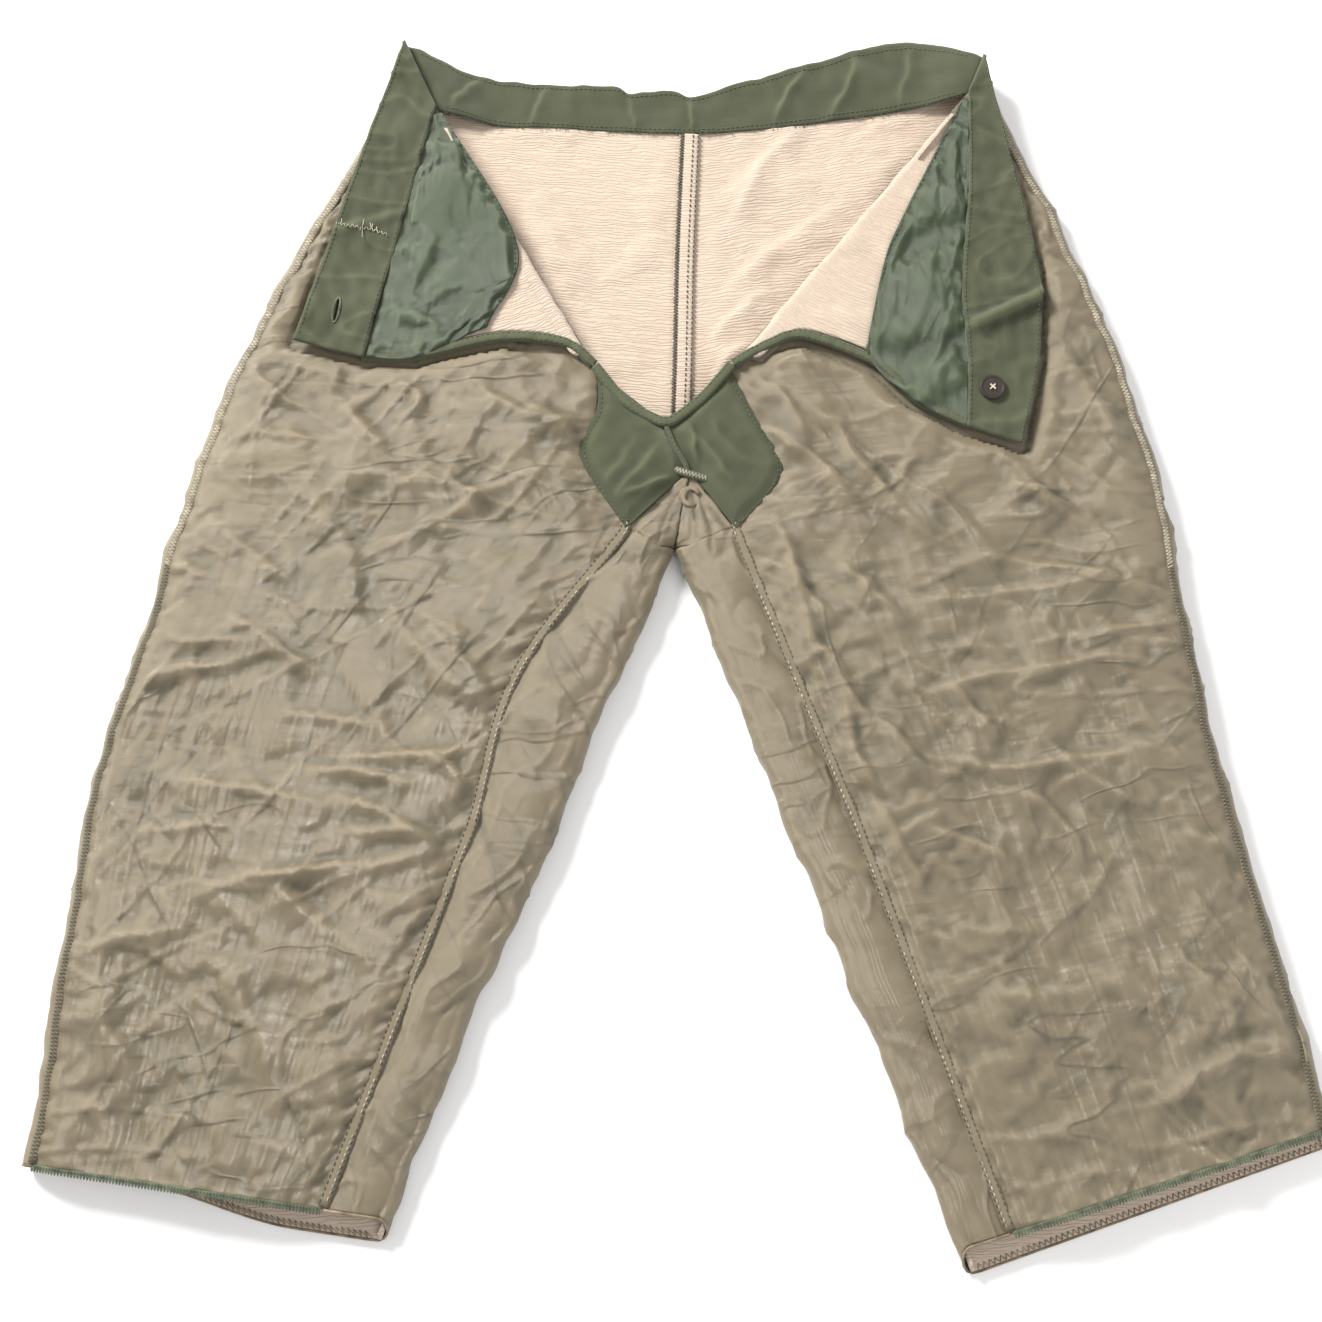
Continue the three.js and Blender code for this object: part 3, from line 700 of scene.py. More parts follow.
def woven_material(name, flat, hollow, crest, roughness, threads, reach, sheen=0.1, coat=0.0, crinkle=0.0004,
                   slant=0.0, fine=0.0):
    """Woven cloth: colour by relief, with painted shade in the hollows and painted highlight on the crests,
    threads and slubs in the bump, small crinkles and fine creases, painted shade along the fine creases, and
    gloss that varies."""
    material, tree, shader = base_material(name, roughness, sheen, coat)
    # Fold Shade paints shade in the hollows and highlight on the crests.
    shade = place_group(tree, "Fold Shade", Crest=crest, Flat=flat, Hollow=hollow, Reach=reach, Patch=0.55)
    weave = place_group(tree, "Weave", Threads=threads, Slant=slant)
    place = tree.nodes.new("ShaderNodeTexCoord").outputs["Object"]
    thick_thread = math_node(tree, "SUBTRACT", weave.outputs["Slub"], 0.42)
    slub = math_node(tree, "MULTIPLY", thick_thread, 0.5, clamp=True)
    colour = mixed(tree, slub, shade.outputs["Color"], crest)
    uneven = math_node(tree, "SUBTRACT", noise_node(tree, place, 22.0, 4), 0.5)
    gloss = math_node(tree, "MULTIPLY", uneven, 0.22)
    gloss = math_node(tree, "ADD", gloss, math_node(tree, "MULTIPLY", shade.outputs["Hollowness"], 0.12))
    tree.links.new(math_node(tree, "ADD", gloss, roughness), shader.inputs["Roughness"])
    soft = bump_into(tree, shader, noise_node(tree, place, 95.0, 5, 0.6), crinkle)
    if fine:
        lines = place_group(tree, "Fine Creases").outputs["Height"]
        # Painted shade along the fine crease lines: the colour goes part way to the hollow colour on them.
        colour = mixed(tree, math_node(tree, "MULTIPLY", lines, 0.4, clamp=True), colour, hollow)
        soft = bump_into(tree, shader, lines, fine, 1.0, soft)
    tree.links.new(colour, shader.inputs["Base Color"])
    bump_into(tree, shader, weave.outputs["Height"], 0.00009, 0.6, soft)
    return material


def pile_material(name, light, dark):
    """Pile: ribs and fuzz in the bump, darker between the ribs, with painted shade in the folds and painted
    highlight on the crests.
    """
    material, tree, shader = base_material(name, 0.95, 0.35)
    ribs = place_group(tree, "Pile Ribs", Ribs=44.0)
    # Fold Shade gives painted shade in the pile's folds and painted highlight on its crests.
    shade = place_group(
        tree, "Fold Shade", Crest=shaded(light, 1.06), Flat=light, Hollow=dark, Reach=1.6, Patch=0.9)
    between = math_node(tree, "MULTIPLY", ribs.outputs["Tint"], 0.42, clamp=True)
    tree.links.new(mixed(tree, between, shade.outputs["Color"], dark), shader.inputs["Base Color"])
    bump_into(tree, shader, ribs.outputs["Height"], 0.00045, 0.8)
    return material


def thread_material(name, light, dark, roughness=0.75):
    """Thread: two tones that change along it, with a fine twist in the bump."""
    material, tree, shader = base_material(name, roughness, 0.2)
    place = tree.nodes.new("ShaderNodeTexCoord").outputs["Object"]
    tone = math_node(tree, "SUBTRACT", noise_node(tree, place, 160.0, 3), 0.35)
    tone = math_node(tree, "MULTIPLY", tone, 3.0, clamp=True)
    tree.links.new(mixed(tree, tone, dark, light), shader.inputs["Base Color"])
    bump_into(tree, shader, noise_node(tree, place, 1400.0, 2), 0.0002)
    return material


def moulded_material(name, colour):
    """Moulded plastic: a slight marbling and fine scratches in the gloss."""
    material, tree, shader = base_material(name, 0.32, 0.0, 0.3)
    place = tree.nodes.new("ShaderNodeTexCoord").outputs["Object"]
    marble = noise_node(tree, place, 260.0, 4)
    tree.links.new(mixed(tree, marble, colour, shaded(colour, 2.3)), shader.inputs["Base Color"])
    scratches = noise_node(tree, stretched(tree, place, (900, 60, 60), 0.6), 1.0, 2)
    gloss = math_node(tree, "MULTIPLY", scratches, 0.35)
    tree.links.new(math_node(tree, "ADD", gloss, 0.16), shader.inputs["Roughness"])
    bump_into(tree, shader, noise_node(tree, place, 500.0, 3), 0.00006)
    return material


def colour_setting(name, description, colour):
    """A colour that the user can change."""
    return bpy.props.FloatVectorProperty(
        name=name, description=description, subtype="COLOR", size=4, min=0, max=1, default=(*colour, 1))


class LinerColours(bpy.types.PropertyGroup):
    """Colours of the cloths, threads and button."""

    shell: colour_setting("Outer nylon", "Satin nylon of the outer cloth", (0.182, 0.148, 0.094))
    # Painted shade: the colour the outer nylon is given in its folds and along its fine creases.
    shell_fold_shade: colour_setting(
        "Outer nylon in folds", "The outer cloth where it falls into folds", (0.082, 0.075, 0.046))
    pile: colour_setting("Pile", "Cream pile of the lining", (0.55, 0.455, 0.37))
    twill: colour_setting("Twill", "Green twill of the waistband, gussets and binding", (0.056, 0.063, 0.032))
    facing: colour_setting("Facing", "Green nylon of the fly facings", (0.038, 0.055, 0.024))
    thread: colour_setting("Seam thread", "Pale thread of the seams", (0.60, 0.55, 0.43))
    button: colour_setting("Button", "Dark brown button", (0.016, 0.011, 0.008))


class LinerSizes(bpy.types.PropertyGroup):
    """Sizes of the cloth, in metres."""

    shell_thick: bpy.props.FloatProperty(
        name="Nylon thickness", description="Thickness of the outer nylon", unit="LENGTH", default=0.0008)
    pile_thick: bpy.props.FloatProperty(
        name="Pile thickness", description="Thickness of the pile lining", unit="LENGTH", default=0.0026)
    loft: bpy.props.FloatProperty(
        name="Loft", description="How far the fronts puff up between their seams", unit="LENGTH",
        default=0.0065)
    spare: bpy.props.FloatProperty(
        name="Spare cloth", description="How much larger than its place the nylon is cut", subtype="FACTOR",
        min=0, max=0.2, default=0.035)
    crinkle: bpy.props.FloatProperty(
        name="Crinkle", description="Height of the small sharp creases", unit="LENGTH", default=0.0012)


def sizes():
    """The sizes in millimetres, as the grids use them."""
    given = bpy.context.scene.liner_sizes
    return {key: getattr(given, key) / MM for key in ("shell_thick", "pile_thick", "loft", "crinkle")}


MADE = {}


def finish_of(name):
    """The material of one finish, made once."""
    if name in MADE:
        return MADE[name]
    c = bpy.context.scene.liner_colours
    shell, hollow, pile = tuple(c.shell), tuple(c.shell_fold_shade), tuple(c.pile)
    twill, facing, thread = tuple(c.twill), tuple(c.facing), tuple(c.thread)
    makers = {
        # Each woven finish has a flat colour, a darker copy as painted shade in its hollows and a lighter
        # copy as painted highlight on its crests.
        "shell": lambda: woven_material(
            "Outer nylon", shell, hollow, shaded(shell, 1.25), 0.32, 210, 1.7, 0.1, 0.12, fine=0.0006),
        "facing": lambda: woven_material(
            "Facing nylon", facing, shaded(facing, 0.5), shaded(facing, 1.7), 0.34, 210, 1.2, 0.1, 0.12,
            fine=0.0005),
        "twill": lambda: woven_material(
            "Green twill", twill, shaded(twill, 0.6), shaded(twill, 1.5), 0.86, 120, 0.8, 0.25, 0.0, 0.0003,
            1.0),
        # The second pile colour is the painted shade of its folds and the darker tone between its ribs.
        "pile": lambda: pile_material("Pile", pile, (0.42, 0.31, 0.22, 1)),
        "thread": lambda: thread_material("Seam thread", thread, shaded(thread, 0.4)),
        # Painted shade: the seam allowance is the outer nylon made darker, with its own painted shade and
        # painted highlight copies.
        "ridge": lambda: woven_material(
            "Seam allowance", shaded(shell, 0.62), shaded(hollow, 0.7), shaded(shell, 1.0), 0.6, 150, 0.5),
        "green thread": lambda: thread_material(
            "Green thread", (0.13, 0.155, 0.095, 1), (0.045, 0.06, 0.035, 1)),
        "dark thread": lambda: thread_material(
            "Dark thread", (0.09, 0.085, 0.06, 1), (0.03, 0.03, 0.022, 1)),
        "brown thread": lambda: thread_material(
            "Brown thread", (0.30, 0.23, 0.15, 1), (0.12, 0.09, 0.055, 1)),
        "button": lambda: moulded_material("Button", tuple(c.button)),
    }
    MADE[name] = makers[name]()
    return MADE[name]


# ---------------------------------------------------------------- outlines that several pieces share

def corner_of(s):
    """The side corner of the waist, at the head of the flap's fold line."""
    top, foot = vec(*s["fold_top"]), vec(*s["fold_foot"])
    return top + unit(top - foot) * s["corner_reach"] + vec(*s["corner_shift"])


def flap_outline(s):
    """The outline of a turned-back front, from the head of its fold round its fly edge and its band."""
    head = vec(*s["fold_top"]) * 0.1 + corner_of(s) * 0.9
    return [tuple(head), s["fold_foot"], *s["fly_edge"], s["band_end"], *s["band_outer"]]


def depth_inside(outline, x, y):
    """Distance to the nearest edge of an outline, positive inside it."""
    a = np.array(outline, float)
    b = np.roll(a, -1, axis=0)
    e = b - a
    px, py = x[..., None] - a[:, 0], y[..., None] - a[:, 1]
    t = np.clip((px * e[:, 0] + py * e[:, 1]) / (e**2).sum(1), 0, 1)
    away = np.hypot(px - t * e[:, 0], py - t * e[:, 1]).min(-1)
    over = (a[:, 1] > y[..., None]) != (b[:, 1] > y[..., None])
    level = np.where(e[:, 1] == 0, 1e-9, e[:, 1])
    cut = over & (px < e[:, 0] * py / level)
    return np.where(cut.sum(-1) % 2 == 1, away, -away)


def tube_radius(lines):
    """Half the height of the leg's rounded edge, row by row: lower towards the hem."""
    v = np.arange(lines["rows"])
    return TUBE_R - 2.4 * bump(v, lines["rows"] - 70, lines["rows"])


# Folds as x0, y0, x1, y1, width, height, bow.
FRONT_FOLDS = {
    "left": [
        (-238, 175, -193, 125, 9, 3.5, 4), (-293, 154, -237, 147, 7, 2.5, -3),
        (-192, 186, -171, 161, 7, 3, 2), (-150, 186, -65, 152, 9, 4, -6), (-112, 175, -58, 125, 8, 4, 5),
        (-220, 63, -136, 84, 12, 3, 4), (-256, 125, -205, 9, 12, 2.5, 8),
        (-299, 23, -229, -24, 8, 3.5, 4), (-334, 9, -276, 9, 7, 3, -3), (-357, -24, -281, -7, 9, 3.5, 4),
        (-225, -70, -133, -58, 7, 4.5, -4), (-246, -76, -170, -89, 6, 4, 4),
        (-224, -92, -155, -133, 8, 4.5, 6), (-278, -142, -156, -127, 8, 4, -5),
        (-330, -86, -226, -102, 8, 3.5, 5), (-200, 40, -120, -40, 10, 2.6, -8),
        (-311, -158, -225, -140, 9, 3, 4), (-274, -140, -185, -225, 12, 3.2, 8),
        (-384, -196, -303, -177, 9, 3, 5), (-226, -158, -206, -322, 16, 3.4, -6),
        (-372, -205, -342, -285, 16, 5, 8), (-296, -186, -246, -300, 17, 4.5, 8),
        (-162, 91, -90, 125, 7, 3, 3), (-304, 205, -262, 165, 7, 3, 3), (-319, 91, -251, 36, 8, 3, 5),
        (-236, 118, -137, 105, 9, 2.8, 6), (-348, 60, -300, 48, 6, 2.5, 2),
        (-180, 140, -120, 98, 8, 3, -5), (-170, 20, -120, -40, 7, 3, 4),
        (-352, -120, -280, -112, 7, 3, 3), (-262, -40, -190, -52, 6, 3, 3),
        (-168, -66, -138, -88, 5, 4, 2), (-214, -112, -166, -116, 6, 3.4, -2),
    ],
    "right": [
        (34, 165, 112, 91, 9, 4.5, 6), (52, 185, 78, 139, 8, 4, 4), (94, 161, 157, 77, 9, 4, -6),
        (121, 172, 176, 142, 8, 3, 3), (205, 125, 275, 77, 9, 3, -5), (176, 63, 300, 38, 10, 3, 7),
        (52, 100, 82, -17, 9, 4, 5), (75, 15, 116, -60, 8, 4, 4), (98, -30, 120, -95, 7, 4, -4),
        (112, -95, 145, -158, 8, 3.5, 4), (130, 36, 296, 60, 9, 3.2, -8), (138, -32, 305, -6, 9, 4, 9),
        (150, -72, 312, -55, 9, 4, -8), (200, -90, 246, -140, 6, 4, 12), (144, -114, 206, -140, 7, 4, 4),
        (170, -218, 275, -206, 12, 3, -5), (306, -195, 334, -252, 13, 4.5, 6),
        (277, -288, 368, -244, 12, 4.5, 8), (285, -300, 345, -322, 10, 3.5, -4),
        (125, -235, 168, -330, 10, 3, 5), (345, -196, 366, -262, 10, 3.5, 4),
        (240, 215, 290, 130, 9, 3, 5), (207, 120, 262, 96, 8, 3, -4), (90, 60, 140, 20, 8, 3.5, 4),
        (150, 110, 200, 60, 9, 3, 5), (236, 10, 300, 20, 7, 3, -3), (160, -20, 196, -64, 6, 3.5, 4),
        (230, -64, 290, -100, 7, 3.5, -5), (112, -40, 150, -84, 6, 4, 4), (128, -120, 160, -104, 5, 3, 2),
        (66, 60, 96, 20, 7, 3.5, -3), (300, -120, 352, -130, 8, 3, 3),
    ],
}
# No fold of a front sinks below this height, so the pile under it keeps its room.
LOWEST_FRONT = 12.6
GRIDS = {}


def seam_puckers(along, away, seed, reach=12.0):
    """Short tucks square to a seam: noise along the seam that dies away from it."""
    tucks = perlin(along / 4.6, away / 30.0, seed) + 0.7 * perlin(along / 9.5, away / 40.0, seed + 3)
    return tucks * np.exp(-away / reach)


def front_grid(name, columns=118):
    """The front of one side from its outseam to its fold, gusset and inseam. Height is the tube's top plus a
    loft that rises as 1 - exp(-distance) from both seams, then the cloth's own settling, listed folds,
    puckers along the seams and small sharp creases. Under the turned-back flap it lies flat."""
    given = sizes()
    lines = row_lines(name)
    s, k = lines["s"], lines["k"]
    flat = ruled(sideways(lines["outer"], -k * LIP), lines["inner"], np.linspace(0, 1, columns))
    x, y = flat[..., 0], flat[..., 1]
    width = np.linalg.norm(flat[:, -1] - flat[:, 0], axis=1)[:, None]
    share = np.linspace(0, 1, columns)[None, :]
    out, into = share * width, (1 - share) * width
    under = bump(depth_inside(flap_outline(s), x, y), -16, 6)
    seed = 101 if k < 0 else 211
    edge = 2 * tube_radius(lines)[:, None] - 0.4
    puff = given["loft"] * (1 - np.exp(-into / 17)) * (1 - np.exp(-out / 12))
    puff += 3.4 * fractal(x / 95, y / 95, seed, 2) * (1 - np.exp(-np.minimum(into, out) / 22))
    grid = np.dstack([x, y, edge + puff * (1 - under)])
    still = bump(np.minimum(into, out), 0, 14) * (1 - under)
    spare = bpy.context.scene.liner_sizes.spare
    grid += settled(grid, 4.4, spare, 0.16, 30, seed, 1.2) * (1 - under)[..., None]
    relief = 1.3 * fold_field(x, y, FRONT_FOLDS[name]) * still
    rough = 0.55 + 0.9 * bump(fractal(x / 70, y / 70, seed + 40, 2), -0.2, 0.7)
    tilt = 0.8 if k < 0 else -0.7
    a, b = x * math.cos(tilt) + y * math.sin(tilt), y * math.cos(tilt) - x * math.sin(tilt)
    c, d = x * math.cos(tilt / 3) - y * math.sin(tilt / 3), y * math.cos(tilt / 3) + x * math.sin(tilt / 3)
    small = 1.5 * puffs(a * 0.34, b, 56, seed + 1) + 0.3 * puffs(c * 0.5, d * 1.2, 27, seed + 2)
    small += 0.1 * puffs(b, a * 0.7, 10, seed + 3) + 1.5 * creases(a * 0.3, b, 38, seed + 4, 10.0)
    small += 1.3 * creases(c * 0.34, d, 46, seed + 6, 11.0)
    relief += given["crinkle"] * rough * small * (0.35 + 0.65 * still) * (1 - 0.7 * under)
    along = lengths_along(grid[..., :2], 0)
    below_tip = bump(np.arange(len(flat)), lines["tip_row"] - 60, lines["tip_row"])[:, None]
    relief += 1.5 * seam_puckers(along, into, seed + 7) * below_tip
    relief += 0.8 * seam_puckers(along, out, seed + 8, 8) * (1 - under)
    relief += 1.6 * seam_puckers(along * 0.7, into, seed + 9, 16) * bump(y, 120, 160) * (1 - 0.5 * under)
    grid[..., 2] = np.maximum(grid[..., 2] + relief, LOWEST_FRONT)
    highest = np.where(under > 0.5, BODY_TOP + 0.4, np.inf)
    grid[..., 2] = np.minimum(grid[..., 2], highest)
    GRIDS[name + " front"] = grid
    GRIDS[name + " lines"] = lines
    return grid


def h_share(h, width, columns):
    """How far across the leg each column is, from 0 at the outer edge to 1 at the inner one and over the
    top."""
    share = h / width
    return np.concatenate([share, np.ones((len(share), columns - share.shape[1]))], 1)


def wrap_grid(name, inset, first, last, counts):
    """The back of one side as a path round the leg in every row: over the outer edge, along the floor
    and, below the fork, round the inner edge and back over the top to the inseam. The edges are half
    circles of the tube's radius less the inset. Above the fork the path stops at the centre back seam."""
    lines = GRIDS[name + " lines"]
    rows = slice(first, last)
    outer, edge, seam = (lines[key][rows][:, None, :] for key in ("outer", "edge", "inner"))
    radius = tube_radius(lines)[rows][:, None]
    arc = radius - inset
    width = np.linalg.norm(edge - outer, axis=2)
    across = (edge - outer) / width[..., None]
    n_outer, n_floor, n_inner, n_top = counts
    start = np.arcsin(np.clip((radius - LIP - inset * 0.3) / arc, -1, 1))
    angle = start + (math.pi - start) * np.linspace(0, 1, n_outer)[None, :]
    parts_h = [radius - arc * np.sin(angle)]
    parts_z = [radius + arc * np.cos(angle)]
    reach = width - radius if n_inner else width - 0.15
    t = np.linspace(0, 1, n_floor + 1)[None, 1:]
    parts_h.append(radius + (reach - radius) * t)
    parts_z.append(np.full((len(radius), n_floor), float(inset)))
    if n_inner:
        angle = math.pi * (1 - np.linspace(0, 1, n_inner + 1)[None, 1:])
        parts_h.append(width - radius + arc * np.sin(angle))
        parts_z.append(radius + arc * np.cos(angle))
    h, z = np.concatenate(parts_h, 1), np.concatenate(parts_z, 1)
    plan = outer + across * h[..., None]
    if n_top:
        t = np.linspace(0, 1, n_top + 1)[None, 1:, None]
        plan = np.concatenate([plan, plan[:, -1:] * (1 - t) + seam * t], 1)
        puff = 3.0 * np.sin(np.pi * np.clip(t[..., 0] * 1.15, 0, 1)) ** 0.8
        z = np.concatenate([z, z[:, -1:] + puff * np.ones_like(radius)], 1)
    v = np.arange(lines["rows"])[rows]
    h_a = math.radians(lines["s"]["hem_tilt"])
    down = vec(lines["k"] * math.sin(h_a), -math.cos(h_a))
    share = np.clip(h_share(h, width, z.shape[1]), 0, 1)
    lower = 13 * bump(share, 0.3, 0.75) if lines["k"] < 0 else 9 + 7 * share
    level = np.clip((2 * radius - z) / (2 * radius - inset), 0, 1)
    drop = (lower + 0.25 * inset) * bump(v, lines["rows"] - 26, lines["rows"])[:, None] * level
    return np.dstack([plan + drop[..., None] * down, z])


def roughened(grid, seed, height, outward, floor=0.15):
    """Moves a grid along its normals by creases and a slow swell, and keeps it off the floor."""
    normals = grid_normals(grid)
    if (normals[..., 2] * outward).sum() < 0:
        normals = -normals
    run_u, run_v = lengths_along(grid, 1), lengths_along(grid[..., :2], 0)
    wide, narrow = puffs(run_u, run_v * 0.6, 34, seed), puffs(run_v, run_u * 0.7, 13, seed + 1)
    field = height * (1.9 * wide + 0.35 * narrow)
    field += height * 1.3 * creases(run_u, run_v * 0.45, 30, seed + 3, 9.0)
    field += height * 0.9 * fractal(run_u / 34, run_v / 34, seed + 2, 2)
    out = grid + normals * field[..., None]
    out[..., 2] = np.maximum(out[..., 2], floor)
    return out


def knee_blend(obj, name):
    """Finds the ends of the stretch across the knee fold, 22 mm either side of its middle, and bakes the
    piece's transform into its mesh; nothing bends the piece.
    """
    p = leg_lines(name)
    tilt = math.radians(p["s"]["knee_tilt"])
    middle_point = (p["knee_inner"] + p["knee_outer"]) / 2
    down = vec(p["k"] * math.sin(tilt), -math.cos(tilt)) * 22
    z = JOINTS[f"{name}_leg_fold"]["pos_m"][2] / MM
    start, end = (to_row(np.append(middle_point + sign * down, z)) for sign in (-1, 1))
    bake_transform(obj)


def flap_blend(obj, name, low, high):
    """Bakes the piece's transform into its mesh; nothing rolls it over the flap's fold. The two heights,
    below which it was to follow the trouser and above which the flap, are not used."""
    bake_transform(obj)


def declare(grids):
    """Works out a sheet's flat size from its grids: the widest row and the longest column, the area their sum
    but no more than width times length. Nothing keeps the results."""
    area = width = length = 0
    for grid in grids:
        du, dv = np.diff(grid[:-1], axis=1), np.diff(grid[:, :-1], axis=0)
        area += np.linalg.norm(np.cross(du, dv), axis=2).sum() * MM**2
        width = max(width, np.linalg.norm(np.diff(grid, axis=1), axis=2).sum(1).max() * MM)
        length += np.linalg.norm(np.diff(grid, axis=0), axis=2).sum(0).max() * MM
    area = min(area, width * length)


def gathers(points):
    """Folds that spread from the crotch like rays: noise of the angle round the gussets' foot. They rise
    within 6 to 20 mm of it and die away by 95 mm."""
    dx, dy = points[..., 0] - GUSSET_FOOT[0], points[..., 1] - GUSSET_FOOT[1]
    far, angle = np.hypot(dx, dy), np.arctan2(dy, dx)
    rays = puffs(angle * 17, far / 6, 5.0, 31) * 3.0 + 1.4 * perlin(angle * 7, far / 50, 33)
    return rays * bump(far, 6, 20) * (1 - bump(far, 45, 95))


def build_shell(name):
    """The nylon of one side: a front panel, and a back panel that wraps round to the seams."""
    given = sizes()
    front = front_grid(name)
    lines = GRIDS[name + " lines"]
    obj = cloth_piece(f"{name}_front_panel", front, given["shell_thick"], finish_of("shell"))
    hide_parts(f"{name}_front_shell", f"{name}_lower_front_shell")
    declare([front])
    knee_blend(obj, name)

    tip = lines["tip_row"]
    seed = 301 if lines["k"] < 0 else 401
    leg = roughened(wrap_grid(name, 0.0, tip, lines["rows"], (12, 70, 12, 26)), seed, 1.1, -1)
    seat = roughened(wrap_grid(name, 0.0, 0, tip + 1, (12, 74, 0, 0)), seed + 9, 0.8, -1)
    leg[:, -1, 2] = front[tip:, -1, 2]
    leg[:, -6:-1, 2] += (front[tip:, -1, 2] - leg[:, -1, 2])[:, None]
    top = leg[0, -26:].copy()
    start, foot = vec(FORK[0] + 0.2 * lines["k"], FORK[1] + 2, 11), vec(*GUSSET_FOOT, 17.0)
    middle_line = smooth([start, start * 0.75 + foot * 0.25 + vec(0, 0, 3.5), foot], 26)
    tuck = ruled(top, resample(middle_line, 26), np.linspace(0, 1, 18)).transpose(1, 0, 2)
    tuck += (roughened(tuck, seed + 20, 0.9, 1) - tuck) * bump(np.arange(18), 0, 4)[:, None, None]
    column, row = np.arange(26)[None, :], np.arange(18)[:, None]
    between = bump(column, 0, 5) * (1 - bump(column, 18, 24))
    leg[:, -26:, 2] += gathers(leg[:, -26:]) * between
    tuck[..., 2] += gathers(tuck) * between * (1 - bump(row, 13, 17))
    parts = [(leg, (0, 0, -1)), (seat, (0, 0, -1)), (tuck, (0, 0, 1))]
    obj = joined_cloths(f"{name}_back_panel", parts, given["shell_thick"], finish_of("shell"))
    GRIDS[name + " wrap"] = leg
    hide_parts(f"{name}_back_shell", f"{name}_lower_back_shell")
    declare([leg, seat])
    knee_blend(obj, name)


def build_linings(name):
    """The pile of one side: the back lining seen in the seat, and the front lining inside the leg."""
    given = sizes()
    lines = GRIDS[name + " lines"]
    k, tip = lines["k"], lines["tip_row"]
    seed = 501 if k < 0 else 601
    inset = given["shell_thick"] + 0.9
    rows = slice(None, None, 2)
    leg = wrap_grid(name, inset + given["pile_thick"] + 1.4, tip, lines["rows"], (8, 40, 8, 0))[rows]
    seat = wrap_grid(name, inset + given["pile_thick"], 0, tip + 1, (10, 88, 0, 0))
    seat[:5, :, 1] += vec(9, 7, 5, 3, 1)[:, None]
    x, y = seat[..., 0], seat[..., 1]
    swell = 2.6 * np.clip(fractal(x / 75, y / 75, seed, 2), -0.6, 1)
    swell += 0.9 * fractal(x / 22, y / 22, seed + 3, 2)
    folds = fold_field(x, y, SEAT_FOLDS)
    calm = bump(np.abs(x - lines["edge"][: len(seat), :1]), 4, 26)
    calm *= bump(depth_inside(SEAT_OUTLINE, x, y), -30, 10)
    low = bump(seat[..., 2], 9, 5)
    seat[..., 2] += (np.maximum(swell, -1.2) * calm + folds * calm) * low
    seat[..., 2] = np.maximum(seat[..., 2], given["pile_thick"] + 1.3)
    GRIDS[name + " inner wrap"] = leg
    parts = [(leg, (0, 0, 1)), (seat, (0, 0, 1))]
    obj = joined_cloths(f"{name}_back_pile", parts, given["pile_thick"], finish_of("pile"))
    GRIDS[name + " seat"] = seat
    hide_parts(f"{name}_back_lining", f"{name}_lower_back_lining")
    declare([leg, seat])
    knee_blend(obj, name)

    front = GRIDS[name + " front"].copy()
    front[..., 2] = lowest_near(front[..., 2], 4) - given["shell_thick"] - given["pile_thick"] - 1.0
    front = front[::2, ::2]
    obj = cloth_piece(f"{name}_front_pile", front, given["pile_thick"], finish_of("pile"), (0, 0, -1))
    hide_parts(f"{name}_front_lining", f"{name}_lower_front_lining")
    declare([front])
    knee_blend(obj, name)


# The part of the lining that shows in the open seat, and its folds.
SEAT_OUTLINE = [(-173, 391), (-60, 196), (-15, 158), (27, 197), (195, 404), (2, 379)]
SEAT_FOLDS = [
    (30, 330, 85, 385, 9, 2.2, 3), (20, 250, 120, 330, 12, 2.6, 8), (10, 215, 60, 262, 8, 2.2, 4),
    (-120, 330, -60, 240, 14, 1.8, 6), (80, 270, 150, 345, 12, 2.0, -6), (-70, 250, -30, 200, 9, 1.8, 4),
    (12, 190, 44, 222, 7, 2.4, 3), (110, 370, 165, 395, 8, 1.6, 3), (20, 300, 60, 372, 9, 1.8, -4),
]


# ---------------------------------------------------------------- narrow pieces and stitches

def rounded(width, height, turns, power=0.75):
    """A closed rounded profile: cosine and sine to a power, times half the width and half the height."""
    a = np.linspace(0, 2 * np.pi, turns, endpoint=False)
    c, s = np.cos(a), np.sin(a)
    across, up = np.sign(c) * np.abs(c) ** power * width / 2, np.sign(s) * np.abs(s) ** power * height / 2
    return np.stack([across, up], 1)


